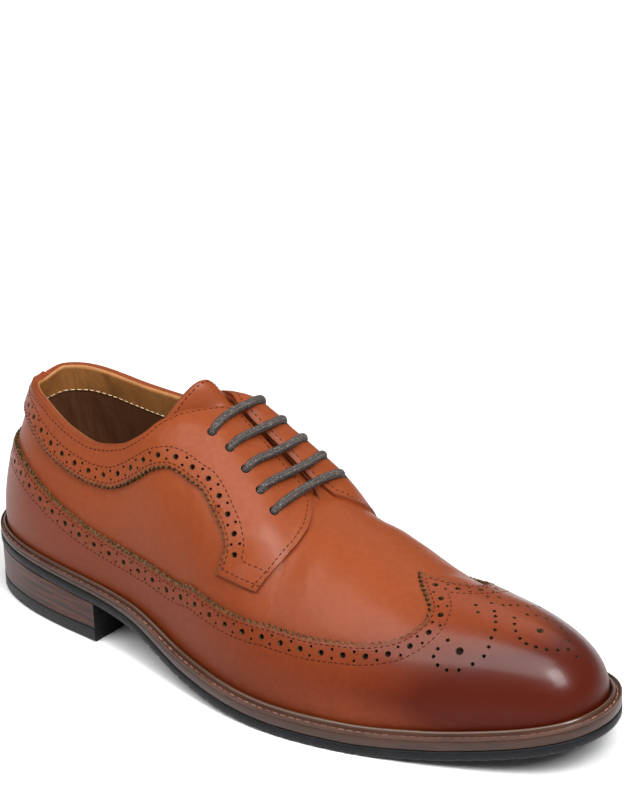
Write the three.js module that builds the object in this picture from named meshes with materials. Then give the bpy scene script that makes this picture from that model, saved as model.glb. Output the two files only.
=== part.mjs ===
import * as THREE from 'three';

// Driving sizes in millimetres; +X to the toe, +Z up, the lateral side at -Y
const LENGTH = 306;
const BALL_WIDTH = 103.8;
const INSTEP_HEIGHT = 104;
const HEEL_RISE = 21.8;
const HEEL_LENGTH = 79.8;
const LIFT_THICKNESS = 6.2;
const OUTSOLE_THICKNESS = 4.4;
const HEEL_MIDSOLE_THICKNESS = 2.6;
const FOREFOOT_MIDSOLE_THICKNESS = 4.6;
const INSOLE_THICKNESS = 3;
const UPPER_WALL = 2.2;
const OVERLAY_THICKNESS = 1.5;
const STRIP_THICKNESS = 1;
const TONGUE_THICKNESS = 2.4;
const TONGUE_RISE = 13;
const LACE_RADIUS = 1.8;
const LACE_CLEARANCE = 0.5;
const GAP = 0.3;
const FEATHER_GAP = 0.45;
const OVERLAY_GAP = 0.35;

// Columns and rows of facets
const COLUMNS = 32;
const ROWS = 8;
const SOLE_STEPS = 30;

// Plan of the sole: share of LENGTH, half widths as shares of BALL_WIDTH
const SOLE_PLAN = [
  { at: 0, lateral: -0.008, medial: 0.008 },
  { at: 0.015, lateral: 0.127, medial: 0.128 },
  { at: 0.035, lateral: 0.195, medial: 0.192 },
  { at: 0.07, lateral: 0.26, medial: 0.258 },
  { at: 0.12, lateral: 0.31, medial: 0.307 },
  { at: 0.22, lateral: 0.353, medial: 0.317 },
  { at: 0.33, lateral: 0.386, medial: 0.288 },
  { at: 0.44, lateral: 0.462, medial: 0.315 },
  { at: 0.54, lateral: 0.519, medial: 0.396 },
  { at: 0.64, lateral: 0.517, medial: 0.473 },
  { at: 0.74, lateral: 0.454, medial: 0.476 },
  { at: 0.84, lateral: 0.357, medial: 0.431 },
  { at: 0.93, lateral: 0.25, medial: 0.337 },
  { at: 0.975, lateral: 0.16, medial: 0.231 },
  { at: 1, lateral: -0.032, medial: 0.032 },
];

// Underside of the outsole: share of LENGTH, height as a share of HEEL_RISE
const SOLE_SIDE = [
  { at: 0, height: 1 },
  { at: 0.235, height: 0.849 },
  { at: 0.33, height: 0.683 },
  { at: 0.45, height: 0.206 },
  { at: 0.56, height: 0.028 },
  { at: 0.61, height: 0 },
  { at: 0.71, height: 0 },
  { at: 0.8, height: 0.087 },
  { at: 0.9, height: 0.307 },
  { at: 1, height: 0.628 },
];

// How far the upper stands inside the edge of the sole, in millimetres
const FEATHER_INSET = [
  { at: 0, inset: 5 },
  { at: 0.25, inset: 5.4 },
  { at: 0.45, inset: 6.5 },
  { at: 1, inset: 6.8 },
];

// Top of the upper on each side: x as a share of LENGTH, y of BALL_WIDTH, z of INSTEP_HEIGHT
const TOP_LATERAL = [
  { at: 0, x: 0.067, y: 0.024, z: 0.897 },
  { at: 0.02, x: 0.07, y: -0.019, z: 0.9 },
  { at: 0.06, x: 0.088, y: -0.077, z: 0.9 },
  { at: 0.11, x: 0.121, y: -0.13, z: 0.89 },
  { at: 0.155, x: 0.157, y: -0.169, z: 0.859 },
  { at: 0.2, x: 0.193, y: -0.197, z: 0.833 },
  { at: 0.25, x: 0.239, y: -0.214, z: 0.813 },
  { at: 0.3, x: 0.284, y: -0.212, z: 0.839 },
  { at: 0.345, x: 0.324, y: -0.197, z: 0.904 },
  { at: 0.38, x: 0.35, y: -0.149, z: 0.966 },
  { at: 0.41, x: 0.373, y: -0.077, z: 0.99 },
  { at: 0.435, x: 0.397, y: 0.01, z: 0.988 },
  { at: 0.455, x: 0.411, y: 0.06, z: 0.971 },
  { at: 0.47, x: 0.429, y: 0.061, z: 0.933 },
  { at: 0.5, x: 0.461, y: 0.057, z: 0.869 },
  { at: 0.53, x: 0.493, y: 0.051, z: 0.802 },
  { at: 0.56, x: 0.523, y: 0.052, z: 0.737 },
];
const TOP_MEDIAL = [
  { at: 0, x: 0.067, y: 0.024, z: 0.897 },
  { at: 0.02, x: 0.07, y: 0.067, z: 0.913 },
  { at: 0.06, x: 0.08, y: 0.116, z: 0.933 },
  { at: 0.11, x: 0.108, y: 0.159, z: 0.938 },
  { at: 0.155, x: 0.144, y: 0.183, z: 0.929 },
  { at: 0.2, x: 0.183, y: 0.191, z: 0.915 },
  { at: 0.25, x: 0.229, y: 0.189, z: 0.906 },
  { at: 0.3, x: 0.275, y: 0.185, z: 0.904 },
  { at: 0.345, x: 0.314, y: 0.177, z: 0.923 },
  { at: 0.38, x: 0.343, y: 0.164, z: 0.957 },
  { at: 0.41, x: 0.366, y: 0.145, z: 0.986 },
  { at: 0.435, x: 0.389, y: 0.12, z: 0.996 },
  { at: 0.455, x: 0.411, y: 0.096, z: 0.971 },
  { at: 0.47, x: 0.429, y: 0.096, z: 0.933 },
  { at: 0.5, x: 0.461, y: 0.101, z: 0.869 },
  { at: 0.53, x: 0.493, y: 0.108, z: 0.802 },
  { at: 0.56, x: 0.523, y: 0.111, z: 0.737 },
];

// Crown of the vamp from the foot of the throat to the toe, and the columns that reach it
const THROAT_AT = 0.585;
const CROWN = [
  { at: THROAT_AT, x: 0.544, y: 0.077, z: 0.692 },
  { at: 0.62, x: 0.572, y: 0.069, z: 0.667 },
  { at: 0.66, x: 0.605, y: 0.062, z: 0.637 },
  { at: 0.7, x: 0.634, y: 0.055, z: 0.606 },
  { at: 0.725, x: 0.66, y: 0.048, z: 0.575 },
  { at: 0.755, x: 0.686, y: 0.043, z: 0.546 },
  { at: 0.8, x: 0.719, y: 0.039, z: 0.515 },
  { at: 0.86, x: 0.768, y: 0.034, z: 0.496 },
  { at: 0.925, x: 0.817, y: 0.032, z: 0.483 },
  { at: 1, x: 0.856, y: 0.032, z: 0.467 },
];

// Shape of each section: flare and lift in millimetres, rise as a share of the wall height,
// reach as a share of its plan depth
const SECTION_LATERAL = [
  { at: 0, flare: 1.2, rise: 0.32, reach: 0.53, lift: -19.5 },
  { at: 0.06, flare: 2, rise: 0.35, reach: 0.55, lift: -21 },
  { at: 0.11, flare: 3, rise: 0.38, reach: 0.6, lift: -22 },
  { at: 0.2, flare: 3.5, rise: 0.4, reach: 0.6, lift: -22 },
  { at: 0.3, flare: 3, rise: 0.42, reach: 0.6, lift: -22 },
  { at: 0.345, flare: 2.5, rise: 0.45, reach: 0.55, lift: -14 },
  { at: 0.38, flare: 2, rise: 0.48, reach: 0.52, lift: -6 },
  { at: 0.41, flare: 1.5, rise: 0.5, reach: 0.5, lift: -1 },
  { at: 0.455, flare: 1.5, rise: 0.52, reach: 0.54, lift: 3.5 },
  { at: 0.53, flare: 1.5, rise: 0.52, reach: 0.55, lift: 1.5 },
  { at: 0.585, flare: 1.5, rise: 0.52, reach: 0.55, lift: -2.7 },
  { at: 0.66, flare: 1.5, rise: 0.54, reach: 0.56, lift: 0 },
  { at: 0.8, flare: 1.5, rise: 0.56, reach: 0.58, lift: 0 },
  { at: 0.92, flare: 1.2, rise: 0.58, reach: 0.6, lift: 0 },
  { at: 1, flare: 0.8, rise: 0.6, reach: 0.6, lift: 0 },
];
const SECTION_MEDIAL = [
  { at: 0, flare: 1.2, rise: 0.32, reach: 0.53, lift: -19.5 },
  { at: 0.06, flare: 2, rise: 0.35, reach: 0.55, lift: -21 },
  { at: 0.11, flare: 3, rise: 0.38, reach: 0.6, lift: -22 },
  { at: 0.2, flare: 3.5, rise: 0.4, reach: 0.6, lift: -24 },
  { at: 0.3, flare: 4.5, rise: 0.42, reach: 0.6, lift: -24 },
  { at: 0.345, flare: 5.5, rise: 0.47, reach: 0.75, lift: -16 },
  { at: 0.38, flare: 6, rise: 0.5, reach: 0.85, lift: -10 },
  { at: 0.41, flare: 6.5, rise: 0.56, reach: 1, lift: -2 },
  { at: 0.455, flare: 5.5, rise: 0.57, reach: 1, lift: 3 },
  { at: 0.53, flare: 4.5, rise: 0.57, reach: 0.95, lift: 3 },
  { at: 0.585, flare: 3, rise: 0.56, reach: 0.76, lift: -2.7 },
  { at: 0.66, flare: 2, rise: 0.56, reach: 0.66, lift: 0 },
  { at: 0.8, flare: 1.6, rise: 0.57, reach: 0.6, lift: 0 },
  { at: 0.92, flare: 1.2, rise: 0.58, reach: 0.6, lift: 0 },
  { at: 1, flare: 0.8, rise: 0.6, reach: 0.6, lift: 0 },
];

// Upper edge of the long wing, as a share of each column from the feather line up
const WING_LATERAL = [
  { at: 0, up: 0.63 },
  { at: 0.05, up: 0.605 },
  { at: 0.12, up: 0.55 },
  { at: 0.2, up: 0.47 },
  { at: 0.28, up: 0.395 },
  { at: 0.36, up: 0.32 },
  { at: 0.43, up: 0.28 },
  { at: 0.51, up: 0.3 },
  { at: 0.58, up: 0.34 },
  { at: 0.65, up: 0.36 },
  { at: 0.7, up: 0.392 },
  { at: 0.745, up: 0.45 },
  { at: 0.775, up: 0.52 },
  { at: 0.787, up: 0.58 },
  { at: 0.796, up: 0.67 },
  { at: 0.801, up: 0.78 },
  { at: 0.805, up: 0.89 },
  { at: 0.809, up: 1 },
  { at: 1, up: 1 },
];
const WING_MEDIAL = [
  { at: 0, up: 0.63 },
  { at: 0.05, up: 0.605 },
  { at: 0.12, up: 0.55 },
  { at: 0.2, up: 0.47 },
  { at: 0.28, up: 0.395 },
  { at: 0.36, up: 0.32 },
  { at: 0.43, up: 0.28 },
  { at: 0.51, up: 0.3 },
  { at: 0.58, up: 0.34 },
  { at: 0.65, up: 0.36 },
  { at: 0.7, up: 0.392 },
  { at: 0.745, up: 0.445 },
  { at: 0.775, up: 0.515 },
  { at: 0.796, up: 0.58 },
  { at: 0.809, up: 0.63 },
  { at: 0.818, up: 0.69 },
  { at: 0.824, up: 0.78 },
  { at: 0.829, up: 0.89 },
  { at: 0.834, up: 1 },
  { at: 1, up: 1 },
];
const WING_FOOT_UP = 0.012;

// Quarter facing: its lower edge (low) and its top or front edge (high) in each column
const QUARTER_EDGE = [
  { at: 0.0001, low: 0.85, high: 1 },
  { at: 0.07, low: 0.8, high: 1 },
  { at: 0.14, low: 0.73, high: 1 },
  { at: 0.21, low: 0.71, high: 1 },
  { at: 0.28, low: 0.71, high: 1 },
  { at: 0.32, low: 0.74, high: 1 },
  { at: 0.36, low: 0.77, high: 1 },
  { at: 0.39, low: 0.755, high: 1 },
  { at: 0.41, low: 0.72, high: 1 },
  { at: 0.43, low: 0.665, high: 1 },
  { at: 0.455, low: 0.615, high: 1 },
  { at: 0.475, low: 0.58, high: 1 },
  { at: 0.488, low: 0.55, high: 1 },
  { at: 0.492, low: 0.48, high: 1 },
  { at: 0.495, low: 0.4, high: 1 },
  { at: 0.53, low: 0.42, high: 1 },
  { at: 0.556, low: 0.44, high: 1 },
  { at: 0.566, low: 0.47, high: 0.965 },
  { at: 0.578, low: 0.55, high: 0.93 },
  { at: 0.588, low: 0.65, high: 0.89 },
  { at: 0.596, low: 0.76, high: 0.84 },
];

// Heel strip: how far it reaches round each side, and its lower end as a share of the column
const STRIP_HALF_AT = 0.012;
const STRIP_FOOT_UP = 0.87;

// Eyelets: column, distance from each facing edge in millimetres, and where the bar crosses the throat
const EYELETS = [
  { at: 0.443, lateral: 16, medial: 11, over: 0.46 },
  { at: 0.47, lateral: 18, medial: 13, over: 0.488 },
  { at: 0.498, lateral: 19, medial: 14, over: 0.518 },
  { at: 0.524, lateral: 20, medial: 15, over: 0.545 },
  { at: 0.548, lateral: 21.5, medial: 16.5, over: 0.568 },
];

// Rise of the tongue's middle out of the collar, as a share of TONGUE_RISE
const TONGUE_BOW = [
  { at: 0.387, bow: 1 },
  { at: 0.4, bow: 0.85 },
  { at: 0.42, bow: 0.55 },
  { at: 0.44, bow: 0.2 },
  { at: 0.458, bow: 0.02 },
  { at: 0.475, bow: 0 },
  { at: 0.66, bow: 0 },
];

// Welt section as shares of its width (across) and millimetres above the midsole (up)
const WELT_SECTION = [
  { across: 0.1, up: 0 },
  { across: 0.12, up: 1.2 },
  { across: 0.34, up: 0.7 },
  { across: 0.58, up: 0.7 },
  { across: 0.67, up: 2.1 },
  { across: 0.87, up: 2.6 },
  { across: 1, up: 1.5 },
  { across: 1, up: 0 },
];

// Smooth curve through table rows that never overshoots them
function throughRows(xs, ys) {
  const steps = xs.slice(1).map((x, i) => x - xs[i]);
  const slopes = steps.map((h, i) => (ys[i + 1] - ys[i]) / h);
  const last = xs.length - 1;
  const tangents = xs.map((x, i) => {
    if (i === 0) return slopes[0];
    if (i === last) return slopes[last - 1];
    if (slopes[i - 1] * slopes[i] <= 0) return 0;
    const before = 2 * steps[i] + steps[i - 1];
    const after = steps[i] + 2 * steps[i - 1];
    return (before + after) / (before / slopes[i - 1] + after / slopes[i]);
  });
  return (x) => {
    let i = 0;
    while (i < last - 1 && x > xs[i + 1]) i += 1;
    const h = steps[i];
    const t = Math.min(1, Math.max(0, (x - xs[i]) / h));
    const rise = ys[i + 1] - ys[i];
    const a = h * tangents[i] - rise;
    const b = rise - h * tangents[i + 1];
    return ys[i] + rise * t + t * (1 - t) * (a * (1 - t) + b * t);
  };
}

// One function for each named column of a table
function readTable(rows, key, columns) {
  const xs = rows.map((row) => row[key]);
  return Object.fromEntries(columns.map((name) => [name, throughRows(xs, rows.map((row) => row[name]))]));
}

// Angle around the sole for a share of its length: 0 at the heel, PI at the toe
const angleAt = (at) => Math.acos(1 - 2 * at);

// Closed plan curve: a natural cubic through the rows, wrapped round both ends
function planCurve() {
  const lateral = SOLE_PLAN.map((row) => ({ angle: angleAt(row.at), y: -row.lateral * BALL_WIDTH }));
  const medial = SOLE_PLAN.slice(1, -1).reverse().map((row) => ({
    angle: 2 * Math.PI - angleAt(row.at),
    y: row.medial * BALL_WIDTH,
  }));
  const loop = [...lateral, ...medial];
  const wrap = (rows, turn) => rows.map((row) => ({ angle: row.angle + turn * 2 * Math.PI, y: row.y }));
  const rows = [...wrap(loop.slice(-5), -1), ...loop, ...wrap(loop.slice(0, 6), 1)];
  const count = rows.length;
  const bends = new Array(count).fill(0);
  const sweep = new Array(count).fill(0);
  for (let i = 1; i < count - 1; i += 1) {
    const before = rows[i].angle - rows[i - 1].angle;
    const after = rows[i + 1].angle - rows[i].angle;
    const pull = (rows[i + 1].y - rows[i].y) / after - (rows[i].y - rows[i - 1].y) / before;
    const pivot = 2 * (before + after) - before * sweep[i - 1];
    sweep[i] = after / pivot;
    bends[i] = (6 * pull - before * bends[i - 1]) / pivot;
  }
  for (let i = count - 2; i > 0; i -= 1) bends[i] -= sweep[i] * bends[i + 1];
  return (angle) => {
    let i = 0;
    while (i < count - 2 && angle > rows[i + 1].angle) i += 1;
    const h = rows[i + 1].angle - rows[i].angle;
    const b = (angle - rows[i].angle) / h;
    const a = 1 - b;
    const bend = ((a * a * a - a) * bends[i] + (b * b * b - b) * bends[i + 1]) * h * h / 6;
    return a * rows[i].y + b * rows[i + 1].y + bend;
  };
}

const planY = planCurve();
const planPoint = (angle) => [LENGTH / 2 * (1 - Math.cos(angle)), planY(angle)];

// Point of the plan curve moved inwards, and the inward direction there
function inwardAt(angle) {
  const step = 0.002;
  const [x0, y0] = planPoint(angle - step);
  const [x1, y1] = planPoint(angle + step);
  const size = Math.hypot(x1 - x0, y1 - y0);
  return [(y0 - y1) / size, (x1 - x0) / size];
}
function insetPoint(angle, inset) {
  const [x, y] = planPoint(angle);
  const [nx, ny] = inwardAt(angle);
  return [x + nx * inset, y + ny * inset];
}

const soleSide = throughRows(SOLE_SIDE.map((row) => row.at), SOLE_SIDE.map((row) => row.height));
const outsoleBottom = (x) => HEEL_RISE * soleSide(x / LENGTH);
const outsoleTop = (x) => outsoleBottom(x) + OUTSOLE_THICKNESS;
const midsoleTop = (x) => {
  const share = Math.min(1, Math.max(0, (x / LENGTH - 0.25) / 0.2));
  const gain = FOREFOOT_MIDSOLE_THICKNESS - HEEL_MIDSOLE_THICKNESS;
  return outsoleTop(x) + HEEL_MIDSOLE_THICKNESS + share * gain;
};
const featherInset = throughRows(FEATHER_INSET.map((row) => row.at), FEATHER_INSET.map((row) => row.inset));

const LATERAL = -1;
const MEDIAL = 1;
const SIDES = [LATERAL, MEDIAL];
const crown = readTable(CROWN, 'at', ['x', 'y', 'z']);
const tops = {
  [LATERAL]: readTable([...TOP_LATERAL, CROWN[0]], 'at', ['x', 'y', 'z']),
  [MEDIAL]: readTable([...TOP_MEDIAL, CROWN[0]], 'at', ['x', 'y', 'z']),
};
const sections = {
  [LATERAL]: readTable(SECTION_LATERAL, 'at', ['flare', 'rise', 'reach', 'lift']),
  [MEDIAL]: readTable(SECTION_MEDIAL, 'at', ['flare', 'rise', 'reach', 'lift']),
};

// One column of the upper: a cubic from the feather line to the topline, throat or crown
function columnAt(at, side) {
  const angle = side === LATERAL ? angleAt(at) : 2 * Math.PI - angleAt(at);
  const inset = featherInset(at);
  const [fx, fy] = insetPoint(angle, inset);
  const [nx, ny] = inwardAt(angle);
  const foot = new THREE.Vector3(fx, fy, midsoleTop(fx) + FEATHER_GAP);
  const onCrown = at >= THROAT_AT;
  const row = onCrown ? crown : tops[side];
  const top = new THREE.Vector3(row.x(at) * LENGTH, row.y(at) * BALL_WIDTH, row.z(at) * INSTEP_HEIGHT);
  const section = sections[side];
  const flare = section.flare(at);
  const low = foot.clone();
  low.x -= nx * flare;
  low.y -= ny * flare;
  low.z += section.rise(at) * (top.z - foot.z);
  const reach = section.reach(at);
  const high = top.clone();
  high.x += (foot.x - top.x) * reach;
  high.y += (foot.y - top.y) * reach;
  const step = 0.01;
  const ahead = Math.min(1, at + step);
  const behind = ahead - step;
  const run = (crown.x(ahead) - crown.x(behind)) * LENGTH;
  const slope = (crown.z(ahead) - crown.z(behind)) * INSTEP_HEIGHT / run;
  high.z += onCrown ? slope * (high.x - top.x) : section.lift(at);
  return new THREE.CubicBezierCurve3(foot, low, high, top);
}

// Columns shared by the upper and every piece cut from it, closer where an edge runs steeply
function sharedColumns() {
  const tables = [...WING_LATERAL, ...WING_MEDIAL, ...QUARTER_EDGE, ...TONGUE_BOW, { at: THROAT_AT }];
  const edges = tables.map((row) => row.at);
  const fixed = edges.filter((at) => at < 0.002 || at > 0.38);
  const angles = [...new Set(fixed)].map(angleAt);
  const kept = angles.filter((angle, i) => angles.every((other, k) => k >= i || Math.abs(other - angle) > 0.004));
  for (let i = 1; i < COLUMNS; i += 1) {
    const angle = Math.PI * i / COLUMNS;
    if (kept.every((other) => Math.abs(other - angle) > Math.PI / COLUMNS / 2)) kept.push(angle);
  }
  return kept.sort((a, b) => a - b).map((angle) => (1 - Math.cos(angle)) / 2);
}

const columns = sharedColumns();
const gridOf = (side) => columns.map((at) => {
  const curve = columnAt(at, side);
  const rows = [];
  for (let j = 0; j <= ROWS; j += 1) rows.push(curve.getPointAt(j / ROWS));
  return rows;
});
const grids = { [LATERAL]: gridOf(LATERAL), [MEDIAL]: gridOf(MEDIAL) };

// Point of the faceted surface in a shared column, at a share of the way up it
function onColumn(i, up, side) {
  const place = Math.min(ROWS - 1e-6, Math.max(0, up * ROWS));
  const row = Math.floor(place);
  return grids[side][i][row].clone().lerp(grids[side][i][row + 1], place - row);
}
const surface = (at, up, side) => columnAt(at, side).getPointAt(Math.min(1, Math.max(0, up)));
const wallLength = (at, side) => columnAt(at, side).getLength();

// A sheet is a grid of points [column][row]; flip turns its facing round
function gridSheet(grid, flip, closed) {
  const triangles = [];
  const count = closed ? grid.length : grid.length - 1;
  for (let i = 0; i < count; i += 1) {
    const a = grid[i];
    const b = grid[(i + 1) % grid.length];
    for (let j = 0; j < a.length - 1; j += 1) {
      const corners = [a[j], b[j], b[j + 1], a[j + 1]];
      if (flip) corners.reverse();
      triangles.push([corners[0], corners[1], corners[2]], [corners[0], corners[2], corners[3]]);
    }
  }
  return triangles;
}

// Shared vertices for a list of triangles; triangles that close up to a line are dropped
function weld(triangles) {
  const points = [];
  const index = new Map();
  const faces = [];
  for (const triangle of triangles) {
    const face = triangle.map((point) => {
      const key = `${Math.round(point.x * 500)} ${Math.round(point.y * 500)} ${Math.round(point.z * 500)}`;
      if (!index.has(key)) {
        index.set(key, points.length);
        points.push(point.clone());
      }
      return index.get(key);
    });
    if (new Set(face).size === 3) faces.push(face);
  }
  return { points, faces };
}

// Closed solid between two offsets of a sheet along its own normals
function leatherFrom(triangles, inner, outer) {
  const { points, faces } = weld(triangles);
  const normals = points.map(() => new THREE.Vector3());
  const ab = new THREE.Vector3();
  const ac = new THREE.Vector3();
  for (const [a, b, c] of faces) {
    ab.subVectors(points[b], points[a]);
    ac.subVectors(points[c], points[a]);
    ab.cross(ac);
    for (const i of [a, b, c]) normals[i].add(ab);
  }
  normals.forEach((normal) => normal.normalize());
  const outside = points.map((point, i) => point.clone().addScaledVector(normals[i], outer));
  const inside = points.map((point, i) => point.clone().addScaledVector(normals[i], inner));
  const count = points.length;
  const solid = faces.flatMap(([a, b, c]) => [[a, b, c], [c + count, b + count, a + count]]);
  const edges = new Set(faces.flatMap(([a, b, c]) => [`${a} ${b}`, `${b} ${c}`, `${c} ${a}`]));
  for (const edge of edges) {
    const [a, b] = edge.split(' ').map(Number);
    if (!edges.has(`${b} ${a}`)) solid.push([b, a, a + count], [b, a + count, b + count]);
  }
  return { points: [...outside, ...inside], faces: solid };
}

// Solid of stacked rings over the plan up to a station, each ring an inset and a height function
function slab(rings, toX) {
  const angles = [];
  for (let i = 0; i <= SOLE_STEPS; i += 1) angles.push(Math.PI * i / SOLE_STEPS);
  const kept = angles.filter((angle) => toX >= LENGTH || planPoint(angle)[0] < toX - 3);
  const loops = rings.map((ring) => {
    const pairs = kept.map((angle) => pairAt(angle, ring.inset));
    if (toX < LENGTH) pairs.push(pairAtStation(toX, ring.inset));
    return pairs.map((pair) => pair.map(([x, y]) => new THREE.Vector3(x, y, ring.height(x))));
  });
  const triangles = [];
  const quad = (a, b, c, d) => triangles.push([a, b, c], [a, c, d]);
  const bottom = loops[0];
  const top = loops[loops.length - 1];
  for (let i = 0; i < bottom.length - 1; i += 1) {
    quad(bottom[i][0], bottom[i][1], bottom[i + 1][1], bottom[i + 1][0]);
    quad(top[i][0], top[i + 1][0], top[i + 1][1], top[i][1]);
    for (let k = 0; k < loops.length - 1; k += 1) {
      quad(loops[k][i][0], loops[k][i + 1][0], loops[k + 1][i + 1][0], loops[k + 1][i][0]);
      quad(loops[k][i + 1][1], loops[k][i][1], loops[k + 1][i][1], loops[k + 1][i + 1][1]);
    }
  }
  for (let k = 0; k < loops.length - 1; k += 1) {
    const end = loops[k].length - 1;
    quad(loops[k][0][1], loops[k][0][0], loops[k + 1][0][0], loops[k + 1][0][1]);
    quad(loops[k][end][0], loops[k][end][1], loops[k + 1][end][1], loops[k + 1][end][0]);
  }
  return weld(triangles);
}

// Lateral and medial points of an inset plan at one angle, brought to the same x
function pairAt(angle, inset) {
  const lateral = insetPoint(angle, inset);
  if (angle < 0.001 || angle > Math.PI - 0.001) return [lateral, lateral];
  return pairAtStation(lateral[0], inset);
}

// The same two points for a given x, found by halving the angle
function pairAtStation(x, inset) {
  return SIDES.map((side) => {
    let low = 0;
    let high = Math.PI;
    const point = (angle) => insetPoint(side === LATERAL ? angle : 2 * Math.PI - angle, inset);
    for (let i = 0; i < 30; i += 1) {
      const middle = (low + high) / 2;
      if (point(middle)[0] < x) low = middle;
      else high = middle;
    }
    return [x, point((low + high) / 2)[1]];
  });
}

// Ring swept round the plan from a closed section
function weltRing() {
  const grid = [];
  const turns = SOLE_STEPS * 2;
  for (let i = 0; i < turns; i += 1) {
    const angle = 2 * Math.PI * i / turns;
    const at = (1 - Math.cos(angle)) / 2;
    const width = featherInset(at) - GAP - OVERLAY_THICKNESS - 0.8;
    const ring = WELT_SECTION.map((row) => {
      const [x, y] = insetPoint(angle, row.across * width);
      return new THREE.Vector3(x, y, midsoleTop(x) + GAP + row.up);
    });
    grid.push([...ring, ring[0]]);
  }
  return weld(gridSheet(grid, false, true));
}

function upperSheet() {
  const medial = grids[MEDIAL].slice(1, -1).reverse();
  return gridSheet([...grids[LATERAL], ...medial], false, true);
}

// Part of the upper's surface between a low and a high edge, in the upper's own facets
function band(side, low, high, from, to) {
  const picked = columns.map((at, i) => i).filter((i) => columns[i] >= from - 1e-9 && columns[i] <= to + 1e-9);
  if (side === MEDIAL) picked.reverse();
  const strips = picked.map((i) => {
    const bottom = low(columns[i]);
    const top = high(columns[i]);
    const ups = [bottom];
    for (let j = 1; j < ROWS; j += 1) {
      if (j / ROWS > bottom + 0.012 && j / ROWS < top - 0.012) ups.push(j / ROWS);
    }
    ups.push(top);
    return ups.map((up) => ({ up, point: onColumn(i, up, side) }));
  });
  const triangles = [];
  const add = (a, b, c) => triangles.push([a.point, b.point, c.point]);
  for (let k = 0; k < strips.length - 1; k += 1) {
    const near = strips[k];
    const far = strips[k + 1];
    let i = 0;
    let j = 0;
    while (i < near.length - 1 || j < far.length - 1) {
      const nearNext = i < near.length - 1 ? near[i + 1].up : Infinity;
      const farNext = j < far.length - 1 ? far[j + 1].up : Infinity;
      if (farNext <= nearNext) {
        add(near[i], far[j], far[j + 1]);
        j += 1;
      } else {
        add(near[i], far[j], near[i + 1]);
        i += 1;
      }
    }
  }
  return triangles;
}

function wingSheet() {
  const edge = {
    [LATERAL]: readTable(WING_LATERAL, 'at', ['up']),
    [MEDIAL]: readTable(WING_MEDIAL, 'at', ['up']),
  };
  return SIDES.flatMap((side) => band(side, () => WING_FOOT_UP, edge[side].up, 0, 1));
}

function quarterSheet(side) {
  const edge = readTable(QUARTER_EDGE, 'at', ['low', 'high']);
  return band(side, edge.low, edge.high, QUARTER_EDGE[0].at, QUARTER_EDGE[QUARTER_EDGE.length - 1].at);
}

// Narrow strip up the back of the heel, over the joint of the two quarters
function heelStripSheet() {
  return SIDES.flatMap((side) => band(side, () => STRIP_FOOT_UP, () => 1, 0, STRIP_HALF_AT));
}

// Tongue: both flanks lie under the facings, the middle bows up out of the collar
function tongueSheet() {
  const middleSteps = 6;
  const flankUps = [(ROWS - 2) / ROWS, (ROWS - 1) / ROWS];
  const shape = readTable(TONGUE_BOW, 'at', ['bow']);
  const picked = columns.map((at, i) => i).filter((i) => columns[i] >= TONGUE_BOW[0].at - 1e-9 && columns[i] <= 0.661);
  const grid = picked.map((i) => {
    const left = onColumn(i, 1, LATERAL);
    const right = onColumn(i, 1, MEDIAL);
    const middle = [];
    for (let k = 0; k <= middleSteps; k += 1) {
      const point = left.clone().lerp(right, k / middleSteps);
      point.z += TONGUE_RISE * shape.bow(columns[i]) * Math.sin(Math.PI * k / middleSteps);
      middle.push(point);
    }
    const flank = (side, ups) => ups.map((up) => onColumn(i, up, side));
    return [...flank(LATERAL, flankUps), ...middle, ...flank(MEDIAL, flankUps.slice().reverse())];
  });
  return gridSheet(grid, false, false);
}

// Outward direction of the surface
function outwardAt(at, up, side) {
  const along = surface(at + 0.004, up, side).sub(surface(at - 0.004, up, side));
  const upwards = surface(at, up + 0.01, side).sub(surface(at, up - 0.03, side));
  return along.cross(upwards).multiplyScalar(-side).normalize();
}

// One straight bar of lace, arched over both facings between its two eyelets
function laceBar({ at, lateral, medial, over }) {
  const clear = OVERLAY_GAP + OVERLAY_THICKNESS + LACE_RADIUS + LACE_CLEARANCE;
  const stops = [1, 0.7, 0.4, 0.1];
  const lifted = (side, share) => {
    const column = over + (at - over) * share;
    const setback = side === LATERAL ? lateral : medial;
    const up = 1 - share * setback / wallLength(column, side);
    return surface(column, up, side).addScaledVector(outwardAt(column, up, side), clear);
  };
  const path = [
    ...stops.map((share) => lifted(LATERAL, share)),
    ...stops.slice().reverse().map((share) => lifted(MEDIAL, share)),
  ];
  const curve = new THREE.CatmullRomCurve3(path, false, 'centripetal');
  const round = new THREE.Shape();
  round.absarc(0, 0, LACE_RADIUS, 0, 2 * Math.PI, false);
  return new THREE.ExtrudeGeometry(round, { steps: 9, curveSegments: 4, extrudePath: curve, bevelEnabled: false });
}

function solidGeometry({ points, faces }) {
  const geometry = new THREE.BufferGeometry();
  geometry.setAttribute('position', new THREE.Float32BufferAttribute(points.flatMap((p) => [p.x, p.y, p.z]), 3));
  geometry.setIndex(faces.flat());
  return geometry;
}

const shoe = new THREE.Group();
shoe.name = 'brogue_shoe';
function addPiece(name, geometry, color, roughness) {
  geometry.computeVertexNormals();
  const material = new THREE.MeshStandardMaterial({ color, roughness, metalness: 0 });
  const mesh = new THREE.Mesh(geometry, material);
  mesh.name = name;
  shoe.add(mesh);
}

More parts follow.
